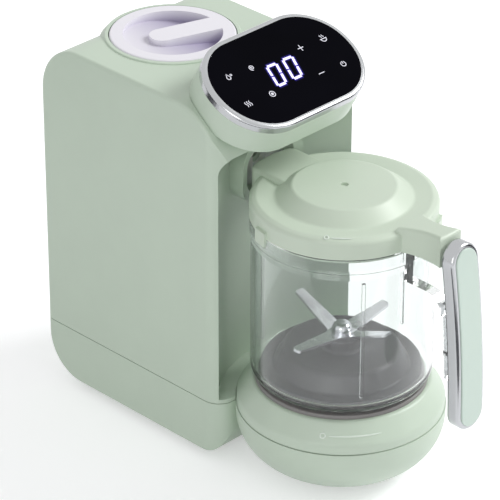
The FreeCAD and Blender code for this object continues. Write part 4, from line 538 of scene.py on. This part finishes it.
floor_glow = 0.37
floor_sweep = bpy.data.materials.new("floor_sweep")
floor_sweep.use_nodes = True
tree = floor_sweep.node_tree
shader = tree.nodes["Principled BSDF"]
shader.inputs["Base Color"].default_value = (0.92, 0.92, 0.94, 1)
shader.inputs["Roughness"].default_value = 0.9
shader.inputs["Emission Color"].default_value = (1, 1, 1, 1)
glow = add(tree, "Math")
glow.operation = "MULTIPLY"
glow.inputs[1].default_value = floor_glow
tree.links.new(rays_that_show(tree), glow.inputs[0])
tree.links.new(glow.outputs[0], shader.inputs["Emission Strength"])
floor_edge = np.array([-3.0, 3.0])
corner_x, corner_y = np.meshgrid(floor_edge, floor_edge, indexing="ij")
corners = np.stack([corner_x.ravel(), corner_y.ravel(), np.zeros(4)], -1)
floor_mesh = bpy.data.meshes.new("floor")
floor_mesh.from_pydata(corners.tolist(), [], [(0, 2, 3, 1)])
floor_mesh.materials.append(floor_sweep)
floor = bpy.data.objects.new("floor", floor_mesh)
bpy.context.scene.collection.objects.link(floor)

# Flags: dark cards round the object, one on the floor before it and one upright on each side. Mirror rays meet
# all three, and rays bent by the clear jug the upright two, so they draw the dark lines on plated and clear
# edges.
flag_card = moulded_plastic("flag_card", pigment(60, 60, 66), rough=0.8, grain_size=0.001, grain_depth=0.00001)
toward, beside = np.array([-0.712, -0.702, 0]), np.array([0.702, -0.712, 0])
upward = np.array([0, 0, 1.0])


def flag(name, middle, across, along, bent_rays):
    """Flat card: its corners are its middle plus or minus the vector across, plus or minus the vector along."""
    corners = [middle + i * across + j * along for i, j in ((-1, -1), (1, -1), (1, 1), (-1, 1))]
    mesh = bpy.data.meshes.new(name)
    mesh.from_pydata(np.array(corners).tolist(), [], [(0, 1, 2, 3)])
    mesh.materials.append(flag_card)
    card = bpy.data.objects.new(name, mesh)
    bpy.context.scene.collection.objects.link(card)
    card.visible_camera = False
    card.visible_diffuse = False
    card.visible_shadow = False
    card.visible_transmission = bent_rays


flag("floor_flag", 0.39 * toward + 0.0015 * upward,
     across=0.3 * beside, along=0.11 * toward, bent_rays=False)
flag("left_flag", -0.5 * beside + 0.11 * upward,
     across=0.12 * toward, along=0.11 * upward, bent_rays=True)
flag("right_flag", 0.6 * beside + 0.15 * upward,
     across=0.12 * toward, along=0.15 * upward, bent_rays=True)

# Light: an even white room with one large softbox high on the right and a weaker, lower one on the left, so
# that the left side is in soft shade.
room_light, room_seen = 0.52, 1.0
room = bpy.data.worlds.new("room")
room.use_nodes = True
bpy.context.scene.world = room
tree = room.node_tree
sky = tree.nodes["Background"]
sky.inputs["Color"].default_value = (1, 1, 1, 1)
span = add(tree, "MapRange", To_Min=room_light, To_Max=room_seen)
tree.links.new(rays_that_show(tree), span.inputs["Value"])
tree.links.new(span.outputs["Result"], sky.inputs["Strength"])


def softbox(name, place, aim, size, power):
    """Square area lamp at a place, turned so that it shines at the aim point."""
    lamp = bpy.data.lights.new(name, "AREA")
    lamp.shape = "SQUARE"
    lamp.size = size
    lamp.energy = power
    holder = bpy.data.objects.new(name, lamp)
    holder.location = place
    holder.rotation_mode = "QUATERNION"
    holder.rotation_quaternion = (Vector(aim) - Vector(place)).to_track_quat("-Z", "Y")
    bpy.context.scene.collection.objects.link(holder)


lit_middle = (0, 0, 0.1)
softbox("softbox_right", (1.9, -1.1, 1.9), lit_middle, size=1.3, power=54)
softbox("softbox_left", (-2.3, -1.1, 1.2), lit_middle, size=1.2, power=13)

# Camera: a long lens in front and to the left, looking down by about thirty degrees. Its focal length is
# given in pixels of the square picture.
turn, drop, roll = math.radians(-45.41), math.radians(29.72), math.radians(0.13)
ahead = Vector((-math.cos(drop) * math.sin(turn), math.cos(drop) * math.cos(turn), -math.sin(drop)))
right = Vector((math.cos(turn), math.sin(turn), 0))
above = right.cross(ahead)
right, above = (right * math.cos(roll) + above * math.sin(roll),
                above * math.cos(roll) - right * math.sin(roll))
lens = bpy.data.cameras.new("camera")
picture_pixels, focal_pixels = 500, 3211.5
lens.sensor_width = 36
lens.lens = lens.sensor_width * focal_pixels / picture_pixels
lens.clip_end = 20
camera = bpy.data.objects.new("camera", lens)
basis = Matrix((right, above, -ahead)).transposed().to_4x4()
basis.translation = Vector((-1.21468, jug_axis_y - 1.11973, 1.0880))
camera.matrix_world = basis
bpy.context.scene.collection.objects.link(camera)
bpy.context.scene.camera = camera
bpy.context.scene.view_settings.view_transform = "Standard"

# Last, the scene's placements are brought up to date.
bpy.context.view_layer.update()
